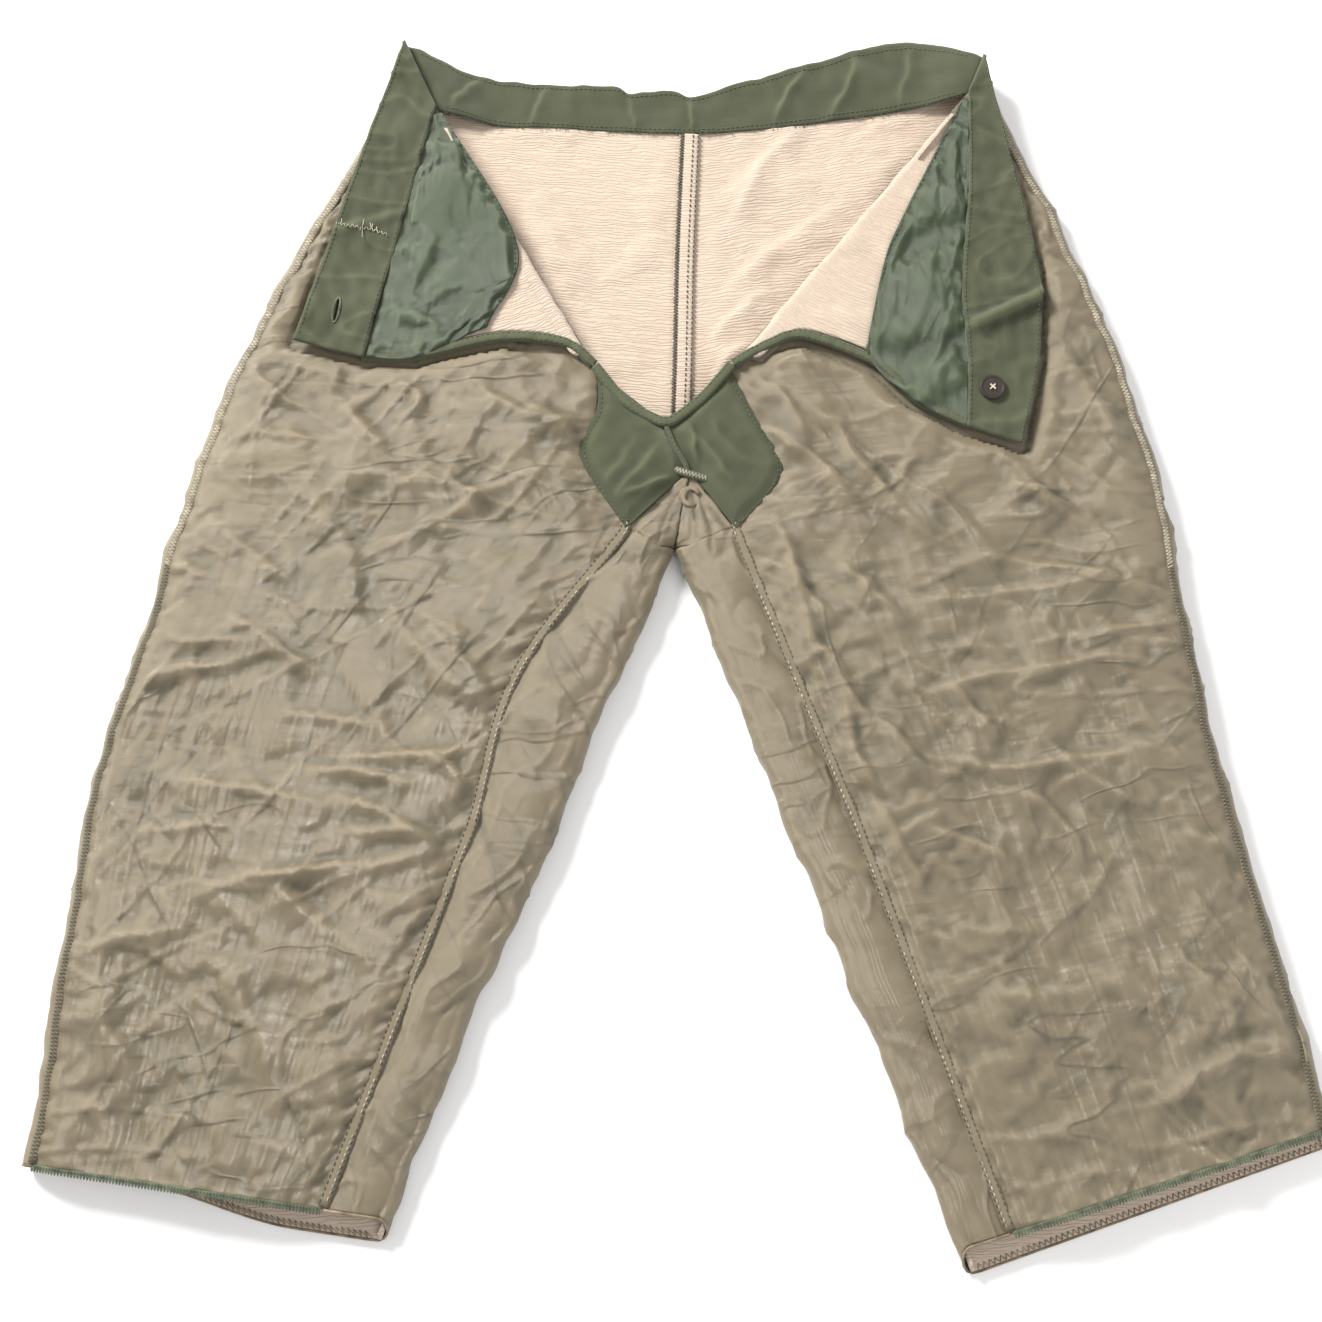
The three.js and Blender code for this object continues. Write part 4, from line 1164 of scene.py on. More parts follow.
def swept(name, path, profile, material, scale=None):
    """A closed profile carried along a path, with its sides level and its ends closed to a point. Its hollow
    attribute gives painted shade on the profile's lower half and painted highlight on its upper half.
    """
    path = np.asarray(path, float)
    along = unit(np.gradient(path, axis=0))
    side = unit(np.cross(along, vec(0, 0, 1) + 0 * along))
    up = np.cross(side, along)
    scale = np.ones(len(path)) if scale is None else scale
    ring = (profile[None, :, :1] * side[:, None] + profile[None, :, 1:] * up[:, None]) * scale[:, None, None]
    grid = path[:, None] + ring
    rows, turns = grid.shape[:2]
    round_it, along_it = np.linspace(0, 0.2, turns)[None, :], run_of(path)[:, None] * 0.01
    uv = np.stack(np.broadcast_arrays(round_it, along_it), -1).reshape(-1, 2)
    verts = np.concatenate([grid.reshape(-1, 3), path[:1], path[-1:]])
    quads = grid_quads(rows, turns, wrap=True)[:, ::-1]
    ids, n = np.arange(turns), rows * turns
    after = np.roll(ids, -1)
    head = np.stack([np.full(turns, n), ids, after], 1)
    tail = np.stack([np.full(turns, n + 1), after + n - turns, ids + n - turns], 1)
    # Painted shade below the path and painted highlight above it: hollow goes from 0.5 at the bottom of the
    # profile to -0.5 at its top.
    low = grid[..., 2] - path[:, None, 2]
    hollow = np.concatenate([(-low / max(np.abs(low).max(), 1e-6) * 0.5).ravel(), [0, 0]])
    uv = np.concatenate([uv, uv[:1], uv[-1:]])
    tris = np.concatenate([head, tail])
    return new_mesh(name, to_row(verts), quads, material, uv, {"hollow": hollow}, tris)


def spindles(name, starts, ends, radius, material):
    """Stitches: each is a five-sided thread that swells from a point at its start and closes at its
    end."""
    starts, ends = np.asarray(starts, float), np.asarray(ends, float)
    along = unit(ends - starts)
    side = unit(np.cross(along, vec(0.03, 0.02, 1)))
    up = np.cross(side, along)
    turn = np.arange(5) * 2 * np.pi / 5
    ring = (side[:, None] * np.cos(turn)[:, None] + up[:, None] * np.sin(turn)[:, None]) * radius
    near = (starts * 0.78 + ends * 0.22)[:, None] + ring
    far = (starts * 0.22 + ends * 0.78)[:, None] + ring
    lift = vec(0, 0, radius * 0.6)
    verts = np.concatenate([starts[:, None], near + lift, far + lift, ends[:, None]], 1)
    k = np.arange(5)
    j = (k + 1) % 5
    quads = np.stack([1 + k, 6 + k, 6 + j, 1 + j], 1)[:, ::-1]
    head, tail = np.stack([0 * k, 1 + k, 1 + j], 1), np.stack([11 + 0 * k, 6 + j, 6 + k], 1)
    tris = np.concatenate([head, tail])[:, ::-1]
    base = np.arange(len(starts))[:, None, None] * 12
    quads, tris = (quads[None] + base).reshape(-1, 4), (tris[None] + base).reshape(-1, 3)
    return new_mesh(name, to_row(verts.reshape(-1, 3)), quads, material, tris=tris)


def beside(path, distance, lift=0.0):
    """A path moved to the left of its direction and up."""
    out = sideways(np.asarray(path, float), distance)
    out[:, 2] += lift
    return out


def at_lengths(path, lengths):
    """The points of a path at the given lengths along it."""
    run = run_of(path)
    return np.stack([np.interp(lengths, run, path[:, k]) for k in range(3)], 1)


def lockstitches(path, length, gap, keep=None):
    """Starts and ends of a row of straight stitches. keep drops some by a smooth noise along the seam."""
    at = np.arange(0.5, run_of(path)[-1] - length, length + gap)
    if keep is not None:
        at = at[perlin(at / 9.0, at * 0 + 0.5, keep) > -0.12]
    return at_lengths(path, at), at_lengths(path, at + length)


def zigzag(path, width, pitch, shift=0.0):
    """Starts and ends of a zigzag across a path: its points swing to one side and the other in turn."""
    at = np.arange(0, run_of(path)[-1], pitch / 2)
    left, right = beside(path, width / 2 + shift), beside(path, -width / 2 + shift)
    swing = np.where((np.arange(len(at)) % 2 == 0)[:, None], at_lengths(left, at), at_lengths(right, at))
    return swing[:-1], swing[1:]


def on_body(obj, body, slot, *nodes):
    """The piece moves with one body and may stand for nodes of the frame. Its slot is not used."""
    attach(obj, body)
    if nodes:
        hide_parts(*nodes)


def topstitch(name, line, body, slot="green_thread", length=2.4, gap=1.0, radius=0.26):
    """A row of green stitches along a line, on one body."""
    rows = lockstitches(line, length, gap)
    on_body(spindles(name, *rows, radius, finish_of("green thread")), body, slot)


# ---------------------------------------------------------------- the turned-back flaps

def coons(near, far, foot):
    """Straight rows from one line to another, the last of them bent to the foot curve by the square of
    the share."""
    share = np.linspace(0, 1, len(foot))
    grid = ruled(near, far, share)
    t = np.linspace(0, 1, len(near))[:, None, None]
    return grid + t**2.5 * (foot - grid[-1])[None]


def rolled(lines_near, lines_far, foot, low, high, start_share, columns, under):
    """A cloth that comes from under the fold, rolls over it in a half circle and lies outwards on top.
    The half circle's diameter is the difference of the two heights, and its outermost point lies on the
    fold line."""
    plan = coons(lines_near, lines_far, foot)
    plan = plan[int(len(plan) * start_share) : -4]
    near = plan[:, :1]
    out = unit(plan[:, -1:] - near)
    fold_out = unit(np.mean(out, axis=0, keepdims=True)) * 0.6 + out * 0.4
    tight = (high - low) / 2
    d_under = np.linspace(FLAP_ROLL + under, FLAP_ROLL, 5)[:-1]
    phi = np.linspace(0, np.pi, 14)
    d = np.concatenate([d_under, FLAP_ROLL - tight * np.sin(phi)])
    z = np.concatenate([np.full(4, low), (low + high) / 2 - tight * np.cos(phi)])
    roll = near + fold_out * d[None, :, None]
    share = np.linspace(0, 1, columns)[None, 1:, None]
    start = roll[:, -1:]
    top = start * (1 - share) + plan[:, -1:] * share
    at = np.linspace(0, 1, columns)[1:]
    index = at * (plan.shape[1] - 1)
    i = np.minimum(index.astype(int), plan.shape[1] - 2)
    w = (index - i)[None, :, None]
    curved = plan[:, i] * (1 - w) + plan[:, i + 1] * w
    fade = bump(at, 0.0, 0.2)[None, :, None]
    top = top * (1 - fade) + curved * fade
    grid = np.concatenate([roll, top], 1)
    height = np.concatenate([z, np.full(columns - 1, high)])
    return np.dstack([grid, np.broadcast_to(height, grid.shape[:2])])


def flap_lines(s, rows, columns):
    """The fold line, the band line and the fly edge between their feet."""
    near = resample([s["fold_top"], s["fold_foot"]], rows)
    far = smooth([s["fold_top"], *s["band_inner"][::-1], s["band_end"]], rows)
    foot = smooth([s["fold_foot"], *s["fly_edge"], s["band_end"]], columns)
    return near, far, foot


# Folds of the facings, in the same order of numbers as the fronts'.
FACING_FOLDS = {
    "left": [
        (-150, 372, -196, 225, 9, 5, 6), (-140, 345, -120, 300, 8, 4, 4),
        (-168, 330, -142, 262, 8, 4.5, -6), (-200, 222, -140, 262, 8, 4, 5),
        (-190, 240, -128, 300, 7, 3.5, -4), (-128, 300, -118, 240, 8, 3.5, 3),
        (-160, 360, -150, 300, 6, 3.5, 3), (-186, 300, -150, 330, 7, 3, 3),
        (-205, 232, -160, 226, 7, 3, 2),
    ],
    "right": [
        (150, 300, 128, 225, 9, 6, -7), (168, 292, 140, 200, 9, 5.5, 6), (178, 250, 152, 180, 8, 5, 4),
        (170, 350, 160, 296, 7, 4.5, 3), (183, 372, 176, 300, 6, 4.5, 2), (140, 250, 126, 214, 6, 4, 2),
        (180, 210, 160, 176, 7, 4, -3), (184, 300, 172, 255, 7, 5, 3),
    ],
}


def build_flap(name):
    """A front turned back: pile that rolls over the fold, nylon inside the roll, and a satin facing on
    the pile."""
    given = sizes()
    s = SIDES[name]
    k = s["side"]
    seed = 701 if k < 0 else 801
    near, far, foot = flap_lines(s, 92, 70)

    pile = rolled(near, far, foot, PILE_UNDER, PILE_OVER, 0.1, 64, 12)
    x, y = pile[..., 0], pile[..., 1]
    lifted = bump(pile[..., 2], 20, 22.8)
    rim = bump(depth_inside(flap_outline(s), x, y), 0, 10)
    pile[..., 2] += lifted * rim * np.maximum(1.4 * fractal(x / 30, y / 30, seed, 2) - 0.2, 0)
    swell = 1.2 * perlin(y / 16, x * 0 + 0.5, seed + 4) + 0.8 * perlin(y / 7, x * 0 + 2.5, seed + 5)
    at_roll = np.exp(-((np.arange(pile.shape[1]) - 11) / 6.0) ** 2)[None, :]
    pile[..., 0] += k * 0.7 * swell * at_roll
    obj = cloth_piece(f"{name}_flap_pile", pile, given["pile_thick"], finish_of("pile"))
    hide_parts(f"{name}_flap_lining")
    declare([pile])
    flap_blend(obj, name, *PILE_TURN)

    nylon = rolled(near, far, foot, NYLON_UNDER, FLAP_LOW + 0.9, 0.1, 50, 12)
    obj = cloth_piece(f"{name}_flap_nylon", nylon, given["shell_thick"] * 0.8, finish_of("shell"))
    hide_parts(f"{name}_flap_shell")
    declare([nylon])
    flap_blend(obj, name, *NYLON_TURN)

    edge = smooth([s["fold_top"], *s["facing_edge"]], 92)
    ends = {"left": [(-160, 212), s["fly_edge"][-1]], "right": s["fly_edge"][-2:]}
    hem = smooth([s["facing_edge"][-1], *ends[name], s["band_end"]], 74)
    facing = coons(edge, far, hem)[4:]
    x, y = facing[..., 0], facing[..., 1]
    inside = bump(depth_inside(np.concatenate([edge[::8], hem[::8], far[::-8]]), x, y), 0, 9)
    grid = np.dstack([x, y, FLAP_TOP - 0.6 + 1.8 * inside])
    grid += settled(grid, 3.4, 0.07, 0.08, 30, seed + 11, 4.0)
    relief = fold_field(x, y, FACING_FOLDS[name]) * (0.25 + 0.75 * inside)
    relief += 1.5 * puffs(x * 1.5 + y * 0.2, y * 0.45, 20, seed + 12) * (0.2 + inside)
    relief += 0.6 * creases(x, y * 0.4, 15, seed + 13, 8.0) * (0.2 + inside)
    lift = grid[..., 2] + relief - FLAP_TOP + 1.0
    grid[..., 2] = FLAP_TOP - 1.4 + 5.4 * np.tanh(np.logaddexp(lift, 0) / 5.4)
    obj = cloth_piece(f"{name}_facing", grid, given["shell_thick"], finish_of("facing"))
    on_body(obj, f"{name}_flap", "green_nylon", f"{name}_fly_facing")
    declare([grid])
    free = grid[:, 2] + vec(0, 0, 0.3)
    topstitch(f"{name}_facing_stitches", free, f"{name}_flap", length=2.6, gap=1.2, radius=0.28)


# ---------------------------------------------------------------- waistband

def band_grid(name, rows=110, columns=26):
    """The waistband of one flap: rows from the fold at the waist's corner to its free end. The first rows
    roll over the fold, and the surface dips and lifts in slow waves; the right one has a pleat above its
    button tab."""
    s = SIDES[name]
    k = s["side"]
    head = corner_of(s)
    inner = smooth([s["fold_top"], *s["band_inner"][::-1], s["band_end"]], rows)
    if name == "right":
        inner = smooth([s["fold_top"], (192, 330), (184, 252), (186, 200), s["band_end"]], rows)
    outer = smooth([tuple(head), *s["band_outer"][::-1]], rows)
    plan = ruled(inner, outer, np.linspace(0, 1, columns))
    t = np.linspace(0, 1, rows)[:, None]
    u = np.linspace(0, 1, columns)[None, :]
    x, y = plan[..., 0], plan[..., 1]
    z = np.full(x.shape, FLAP_TOP + 0.2)
    z += 1.7 * fractal(x / 42, y / 42, 901 + k, 2) + 0.8 * perlin(x / 9, y / 14, 905 + k)
    z += 0.9 * creases(x * 0.5, y, 26, 907 + k, 7.0)
    z += 1.1 * np.abs(2 * u - 1) ** 3
    if name == "right":
        pleat = (y - 232 - 0.45 * (x - 205)) / 5.5
        z += 6.0 * np.exp(-(pleat**2)) * bump(u, -0.3, 0.5) + 2.2 * np.exp(-(((y - 252) / 10) ** 2)) * u
        calm = np.exp(-(((x - 201) ** 2 + (y - 180) ** 2) / 17.0**2) ** 2)
        z = z * (1 - calm) + (FLAP_TOP - 0.2) * calm
    else:
        z += 1.6 * np.exp(-(((y - 300 - 0.3 * (x + 220)) / 4) ** 2))
        z += 1.8 * np.exp(-(((y - 372) / 12) ** 2)) * u
        z = np.minimum(z, FLAP_TOP + 3.2)
    top = np.dstack([x, y, z])
    into = unit(top[0, :, :2] - top[3, :, :2])
    radius = 4.2
    angle = np.linspace(0.12 * np.pi, 0.96 * np.pi, 12)[:, None, None]
    away, rise = radius * (np.sin(angle) - 1), -radius * np.cos(angle) - radius
    curl = top[:1] + np.concatenate([into * away, np.broadcast_to(rise, (12, columns, 1))], -1)
    lowered = top.copy()
    lowered[..., :2] -= into * radius * (1 - bump(t, 0.0, 0.12))[..., None]
    return np.concatenate([curl, lowered], 0)


def build_front_band(name):
    """The waistband of one flap, with its buttonhole cut on the left and a row of stitches along both
    edges."""
    grid = band_grid(name)
    obj = cloth_piece(f"{name}_band", grid, 2.2, finish_of("twill"))
    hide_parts(f"{name}_waistband_front")
    if name == "left":
        cut_slot(obj)
    declare([grid])
    flap_blend(obj, name, *BAND_TURN)
    GRIDS[name + " band"] = grid
    for label, column in (("inner", 1), ("outer", -2)):
        topstitch(f"{name}_band_{label}_stitches", grid[14:-2, column] + vec(0, 0, 0.25), f"{name}_flap")


def cut_slot(band):
    """Cuts the buttonhole through the band: a rounded bar of the slot's width and length is taken out of
    it."""
    half = vec(SLOT_LEAN, SLOT[1] / 2, 0)
    centre = vec(*BUTTONHOLE, 24)
    path = np.linspace(centre - half, centre + half, 8)
    cutter = swept("slot cutter", path, rounded(SLOT[0], 16, 12), finish_of("twill"))
    modifier = band.modifiers.new("Slot", "BOOLEAN")
    modifier.operation, modifier.object, modifier.solver = "DIFFERENCE", cutter, "EXACT"
    shown = band.evaluated_get(bpy.context.evaluated_depsgraph_get())
    mesh = bpy.data.meshes.new_from_object(shown)
    band.modifiers.clear()
    band.data = mesh
    bpy.data.objects.remove(cutter)


# The back band's upper and lower edge between its corners, and its folds.
BACK_BAND_TOP = [
    (-150, 423), (-100, 416), (-52, 414), (-38, 409), (-10, 411), (3, 407), (22, 412), (60, 424), (100, 437),
    (140, 448), (172, 447),
]
BACK_BAND_FOOT = [(-130, 385), (-90, 383), BACK_CENTRE, (60, 383), (95, 388), (150, 396)]
BACK_BAND_FOLDS = [
    (60, 386, 84, 430, 6, 3.2, 2), (98, 390, 120, 442, 7, 3.5, -3), (-110, 384, -96, 415, 5, 2, 1),
    (-36, 381, -40, 408, 5, 1.8, 0), (4, 380, 2, 406, 4, 2.2, 0), (-165, 395, -140, 420, 6, 2.6, 2),
    (150, 396, 160, 446, 7, 2.6, 2),
]


def build_back_band():
    """The waistband round the back: rows from its lower to its upper edge. It lies low in the middle,
    climbs to both folds, and has shallow waves, with a lapped join beside the centre."""
    left, right = SIDES["left"], SIDES["right"]
    count, across = 320, 24
    upper = [tuple(corner_of(left)), *BACK_BAND_TOP, tuple(corner_of(right))]
    lower = [left["fold_top"], *BACK_BAND_FOOT, right["fold_top"]]
    above, below = smooth(upper, count), smooth(lower, count)
    above = sideways(above, 1.1 * perlin(np.arange(count) / 11.0, np.full(count, 0.4), 77))
    plan = ruled(below, above, np.linspace(0, 1, across)).transpose(1, 0, 2)
    x, y = plan[..., 0], plan[..., 1]
    u = np.linspace(0, 1, across)[:, None]
    along = run_of(np.column_stack([below, np.zeros(count)]))
    ends = np.minimum(along, along[-1] - along)[None, :]
    z = 5.6 + 10.2 * (1 - bump(ends, 0, 52)) + 2.2 * u + 1.3 * fractal(x / 36, y / 30, 950, 2)
    z += 0.7 * perlin(x / 12 + 0.02 * y, y / 26, 953) * (0.3 + u)
    z += fold_field(x, y, BACK_BAND_FOLDS)
    grid = np.dstack([x, y, np.maximum(z, 3.4)])
    obj = cloth_piece("back_band", grid, 2.6, finish_of("twill"))
    nodes = (f"back_waistband_{place}" for place in ("left", "centre", "right"))
    on_body(obj, "trouser", "green_twill", *nodes)
    declare([grid])
    for label, row in (("lower", 2), ("upper", -3)):
        topstitch(f"back_band_{label}_stitches", grid[row, 6:-6] + vec(0, 0, 0.3), "trouser")
    rng = np.random.default_rng(5)
    frayed = 150
    at = rng.uniform(5, run_of(grid[0])[-1] - 5, frayed)
    base = at_lengths(grid[0], at) + vec(0, 0.5, 0.2)
    spread = [rng.uniform(low, high, frayed) for low, high in ((-1.8, 1.8), (-3.4, -1.2), (-0.8, 0.4))]
    threads = spindles(
        "back_band_frayed_threads", base, base + np.column_stack(spread), 0.16, finish_of("green thread"))
    on_body(threads, "trouser", "green_thread")
    for name in SIDES:
        build_waist_side(name)


def build_waist_side(name):
    """The side of the waist, from the back band's end up under the flap's band."""
    s = SIDES[name]
    corner, fold, side = corner_of(s), vec(*s["fold_top"]), vec(*s["band_side"])
    near = resample([corner * 0.85 + side * 0.15, side], 26)
    far = resample([corner * 0.97 + fold * 0.03, fold], 26)
    plan = ruled(near, far, np.linspace(0, 1, 14))
    u = np.linspace(0, 1, 14)[None, :]
    z = 1.6 + (BODY_TOP - 2.6) * np.sin(np.clip(u * 1.9, 0, 1) * np.pi / 2) + 0 * plan[..., 0]
    grid = np.dstack([plan, z])
    obj = cloth_piece(f"{name}_band_side", grid, 2.0, finish_of("twill"))
    on_body(obj, "trouser", "green_twill")
    declare([grid])


# ---------------------------------------------------------------- crotch and fly edges

# Folds of both gussets, in the same order of numbers as the fronts'.
GUSSET_FOLDS = [
    (-50, 100, -14, 146, 7, 2.6, 3), (-60, 112, -34, 150, 8, 1.8, -3), (-46, 104, -2, 122, 5, 2.4, 2),
    (4, 150, 30, 112, 7, 2.8, 3), (14, 162, 44, 128, 8, 1.8, -4), (-20, 156, -8, 124, 5, 2.4, 1),
    (2, 158, 4, 126, 4, 2.4, 1),
]


def build_gusset(name):
    """A twill gusset: rows from the bound fly edge down to its tip, slightly crowned, with an edge
    stitched all round."""
    s = SIDES[name]
    k = s["side"]
    rows, columns = 64, 42
    head = vec(*s["fold_foot"]) * 0.98 + vec(*FLY_POINT) * 0.02
    outer = sideways(smooth([head, s["gusset_top"], s["gusset_out"], s["gusset_tip"]], rows), 1.6 * k)
    inner = resample([FLY_POINT, GUSSET_FOOT, vec(*s["gusset_tip"]) * 0.96 + vec(*GUSSET_FOOT) * 0.04], rows)
    plan = ruled(outer, inner, np.linspace(0, 1, columns))
    x, y = plan[..., 0], plan[..., 1]
    rim = bump(depth_inside(np.concatenate([outer[::6], inner[::-6]]), x, y), 0, 9)
    z = BODY_TOP + 1.0 + 2.2 * rim + 0.8 * fractal(x / 22, y / 22, 960 + k, 2) * rim
    z += fold_field(x, y, GUSSET_FOLDS) * rim
    z -= 3.0 * np.exp(-(np.hypot(x - GUSSET_FOOT[0], y - GUSSET_FOOT[1]) / 12) ** 2)
    grid = np.dstack([x, y, z])
    obj = cloth_piece(f"{name}_gusset_twill", grid, 1.4, finish_of("twill"))
    on_body(obj, "trouser", "green_twill", f"{name}_gusset")
    declare([grid])
    line = np.concatenate([grid[3:-3, 2], grid[-4, 4:-3]]) + vec(0, 0, 0.3)
    topstitch(f"{name}_gusset_stitches", line, "trouser")


def build_fly_binding(name):
    """The bound edge of a flap: a rounded tape carried along the edge of the pile and facing."""
    s = SIDES[name]
    foot = smooth([s["fold_foot"], *s["fly_edge"], s["band_end"]], 120)
    fold = unit(vec(*s["fold_top"]) - vec(*s["fold_foot"]))
    run = run_of(np.column_stack([foot, np.zeros(120)]))
    z = 22.2 - 3.2 * np.exp(-run / 12) + 0.9 * perlin(run / 15, run * 0 + 0.5, 970)
    z += 0.5 * perlin(run / 6, run * 0, 971)
    path = np.column_stack([foot + fold * 3.0, z])[1:]
    obj = swept(f"{name}_fly_tape", path, rounded(7, 5.2, 16, 0.8), finish_of("twill"))
    on_body(obj, f"{name}_flap", "green_twill", f"{name}_fly_binding")
    for label, shift in (("upper", -2.0 * s["side"]), ("lower", 2.0 * s["side"])):
        topstitch(f"{name}_fly_{label}_stitches", beside(path, shift, 2.45), f"{name}_flap", gap=1.1)


def build_fly_turn(name):
    """The binding where it turns round the foot of the fold: a short strip that follows the half circle
    of the rolled cloths and covers their ends."""
    s = SIDES[name]
    foot = vec(*s["fold_foot"])
    fold, out = unit(vec(*s["fold_top"]) - foot), unit(vec(*s["fly_edge"][0]) - foot)
    middle_z, radius = (PILE_UNDER + PILE_OVER) / 2 - 1.0, 5.4
    phi = np.linspace(0, np.pi, 20)
    d = np.concatenate([[15, 11, 8], 6.2 - radius * np.sin(phi), [9, 12]])
    z = np.concatenate([[middle_z - radius] * 3, middle_z - radius * np.cos(phi), [middle_z + radius] * 2])
    share = np.linspace(-2.4, 8.0, 7)
    plan = foot + out * d[:, None, None] + fold * share[None, :, None]
    grid = np.dstack([plan, np.broadcast_to(z[:, None], plan.shape[:2])])
    obj = cloth_piece(f"{name}_fly_turn", grid, 1.0, finish_of("twill"), (-out[0], -out[1], 0.3))
    declare([grid])
    flap_blend(obj, name, *PILE_TURN)


def build_crotch():
    """The bound point of the fly, the ridge of the crotch seam, the short join across the gussets' foot,
    and the knotted tuck below it: a rounded profile along an open ring that swells by the root of a
    sine."""
    twill = finish_of("twill")
    left, right = (vec(*SIDES[name]["fold_foot"]) for name in SIDES)
    vee = smooth([left + vec(-2, 1.5), (-42, 173), (-22, 160.5), (-15, 158.5), (-8, 161), (10, 176),
                  right + vec(2, 1.5)], 130)
    run = np.linspace(0, 1, 130)
    path = np.column_stack([vee, 20.2 + 1.4 * np.abs(2 * run - 1) ** 2 + 0.5 * perlin(run * 9, run * 0, 980)])
    tape = swept("fly_point_tape", path, rounded(7, 3.6, 16, 0.8), twill)
    on_body(tape, "trouser", "green_twill", "fly_point_binding")
    for label, shift in (("upper", 2.1), ("lower", -2.1)):
        topstitch(f"fly_point_{label}_stitches", beside(path, shift, 1.65), "trouser", gap=1.1)
    seam = smooth([(-14.5, 155, 20.0), (-9, 142, 19.0), (-1, 127, 16.6), (-2, 112, 14.6), (-6, 92, 13.0),
                   (-8.6, 78, 11.5)], 80)
    ridge = swept("crotch_ridge", seam, rounded(3.6, 2.2, 12), twill)
    on_body(ridge, "trouser", "seam_thread", "crotch_seam")
    topstitch("crotch_stitches", seam[:42] + vec(0, 0, 1.15), "trouser", "seam_thread", 2.2, 0.9)
    band = smooth([(-12, 127, 17.6), (0, 122.5, 18.6), (13, 119, 17.8)], 30)
    on_body(swept("crotch_join", band, rounded(5.4, 2.4, 14, 0.7), twill), "trouser", "green_twill")
    swings = zigzag(band + vec(0, 0, 1.2), 3.6, 2.2)
    on_body(spindles("crotch_join_stitches", *swings, 0.3, finish_of("thread")), "trouser", "seam_thread")
    turn = np.linspace(0.3, 2 * np.pi - 0.5, 40)
    knot = [1.5 + 5.2 * np.cos(turn), 107 + 5.8 * np.sin(turn), 17.2 + 0.6 * np.sin(2 * turn)]
    swell = np.sin(np.linspace(0.15, np.pi - 0.15, 40)) ** 0.5 * (1 + 0.2 * np.sin(3 * turn))
    knot = swept("crotch_knot", np.column_stack(knot), rounded(4.6, 4.0, 14), finish_of("shell"), swell)
    on_body(knot, "trouser", "shell_nylon")


# ---------------------------------------------------------------- seams and hems

def leg_piece(obj, name, slot, *nodes):
    """The piece runs down one leg and may stand for nodes of the frame; knee_blend bakes its transform and
    does not bend it at the knee. Its slot is not used."""
    if nodes:
        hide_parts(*nodes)
    knee_blend(obj, name)


def soft_path(line, reach=3):
    """A path with its small bumps averaged out."""
    out = line.copy()
    for _ in range(reach):
        out[1:-1] = (out[:-2] + 2 * out[1:-1] + out[2:]) / 4
    return out


# The outseam's overlock is pale above this height and dark below it.
PALE_THREAD_ABOVE = 60


def build_seams(name):
    """The flat double-stitched inseam and the overlocked outseam of one leg, laid on the cloth's own
    edges."""
    lines = GRIDS[name + " lines"]
    k, front = lines["k"], GRIDS[name + " front"]

    def ridge(label, path, profile):
        obj = swept(f"{name}_{label}_ridge", path[::2], profile, finish_of("ridge"))
        leg_piece(obj, name, "seam_thread", f"{name}_{label}", f"{name}_lower_{label}")

    def sewn(label, stitches, radius, thread):
        leg_piece(spindles(f"{name}_{label}", *stitches, radius, finish_of(thread)), name, "seam_thread")

    inseam = soft_path(front[lines["tip_row"] - 2 : -1, -1]) + vec(0, 0, 0.9)
    ridge("inseam", inseam, rounded(7.0, 1.3, 14, 0.6))
    edges = [lockstitches(beside(inseam, shift, 0.6), 2.8, 1.0) for shift in (-2.5, 2.5)]
    sewn("inseam_edge_stitches", [np.concatenate(part) for part in zip(*edges)], 0.34, "dark thread")
    pale = lockstitches(beside(inseam, -k * 1.4, 0.85), 2.6, 1.3, 61)
    sewn("inseam_pale_stitches", pale, 0.42, "thread")
    outseam = soft_path(front[6:-1, 0]) + vec(0, 0, 0.5)
    ridge("outseam", outseam, rounded(5.4, 1.9, 12, 0.7))
    starts, ends = zigzag(outseam + vec(0, 0, 0.85), 4.6, 2.3)
    upper = starts[:, 1] > PALE_THREAD_ABOVE
    sewn("outseam_overlock", (starts[upper], ends[upper]), 0.32, "thread")
    sewn("outseam_lower_overlock", (starts[~upper], ends[~upper]), 0.28, "dark thread")


def build_hem(name):
    """Overlocked edges of the front hem and of the longer back hem, whose pile shows below the front."""
    front, wrap = GRIDS[name + " front"], GRIDS[name + " wrap"]
    k = SIDES[name]["side"]
    rim = soft_path(front[-1], 2) + vec(0, 0, -0.6)
    tape = swept(f"{name}_front_hem", rim[1:-1], rounded(2.6, 2.6, 12), finish_of("green thread"))
    leg_piece(tape, name, "green_thread", f"{name}_hem_overlock")
    lift = vec(0, 0, 1.9)
    loops = zigzag(beside(rim, k * 1.2) + lift, 4.6, 2.0)
    loops = spindles(f"{name}_front_hem_loops", *loops, 0.42, finish_of("green thread"))
    leg_piece(loops, name, "green_thread")
    back = soft_path(wrap[-1], 2)
    path = back[::2] + vec(0, 0, 0.9)
    ridge = swept(f"{name}_back_hem", path, rounded(1.7, 1.5, 10), finish_of("brown thread"))
    leg_piece(ridge, name, "green_thread")
    pile = GRIDS[name + " inner wrap"][-1]
    pile = resample(pile[pile[:, 2] < 7], 160)
    loops = zigzag(beside(pile, -k * 1.8) + vec(0, 0, 0.4), 4.2, 3.6)
    loops = spindles(f"{name}_back_hem_zigzag", *loops, 0.3, finish_of("brown thread"))
    leg_piece(loops, name, "green_thread")


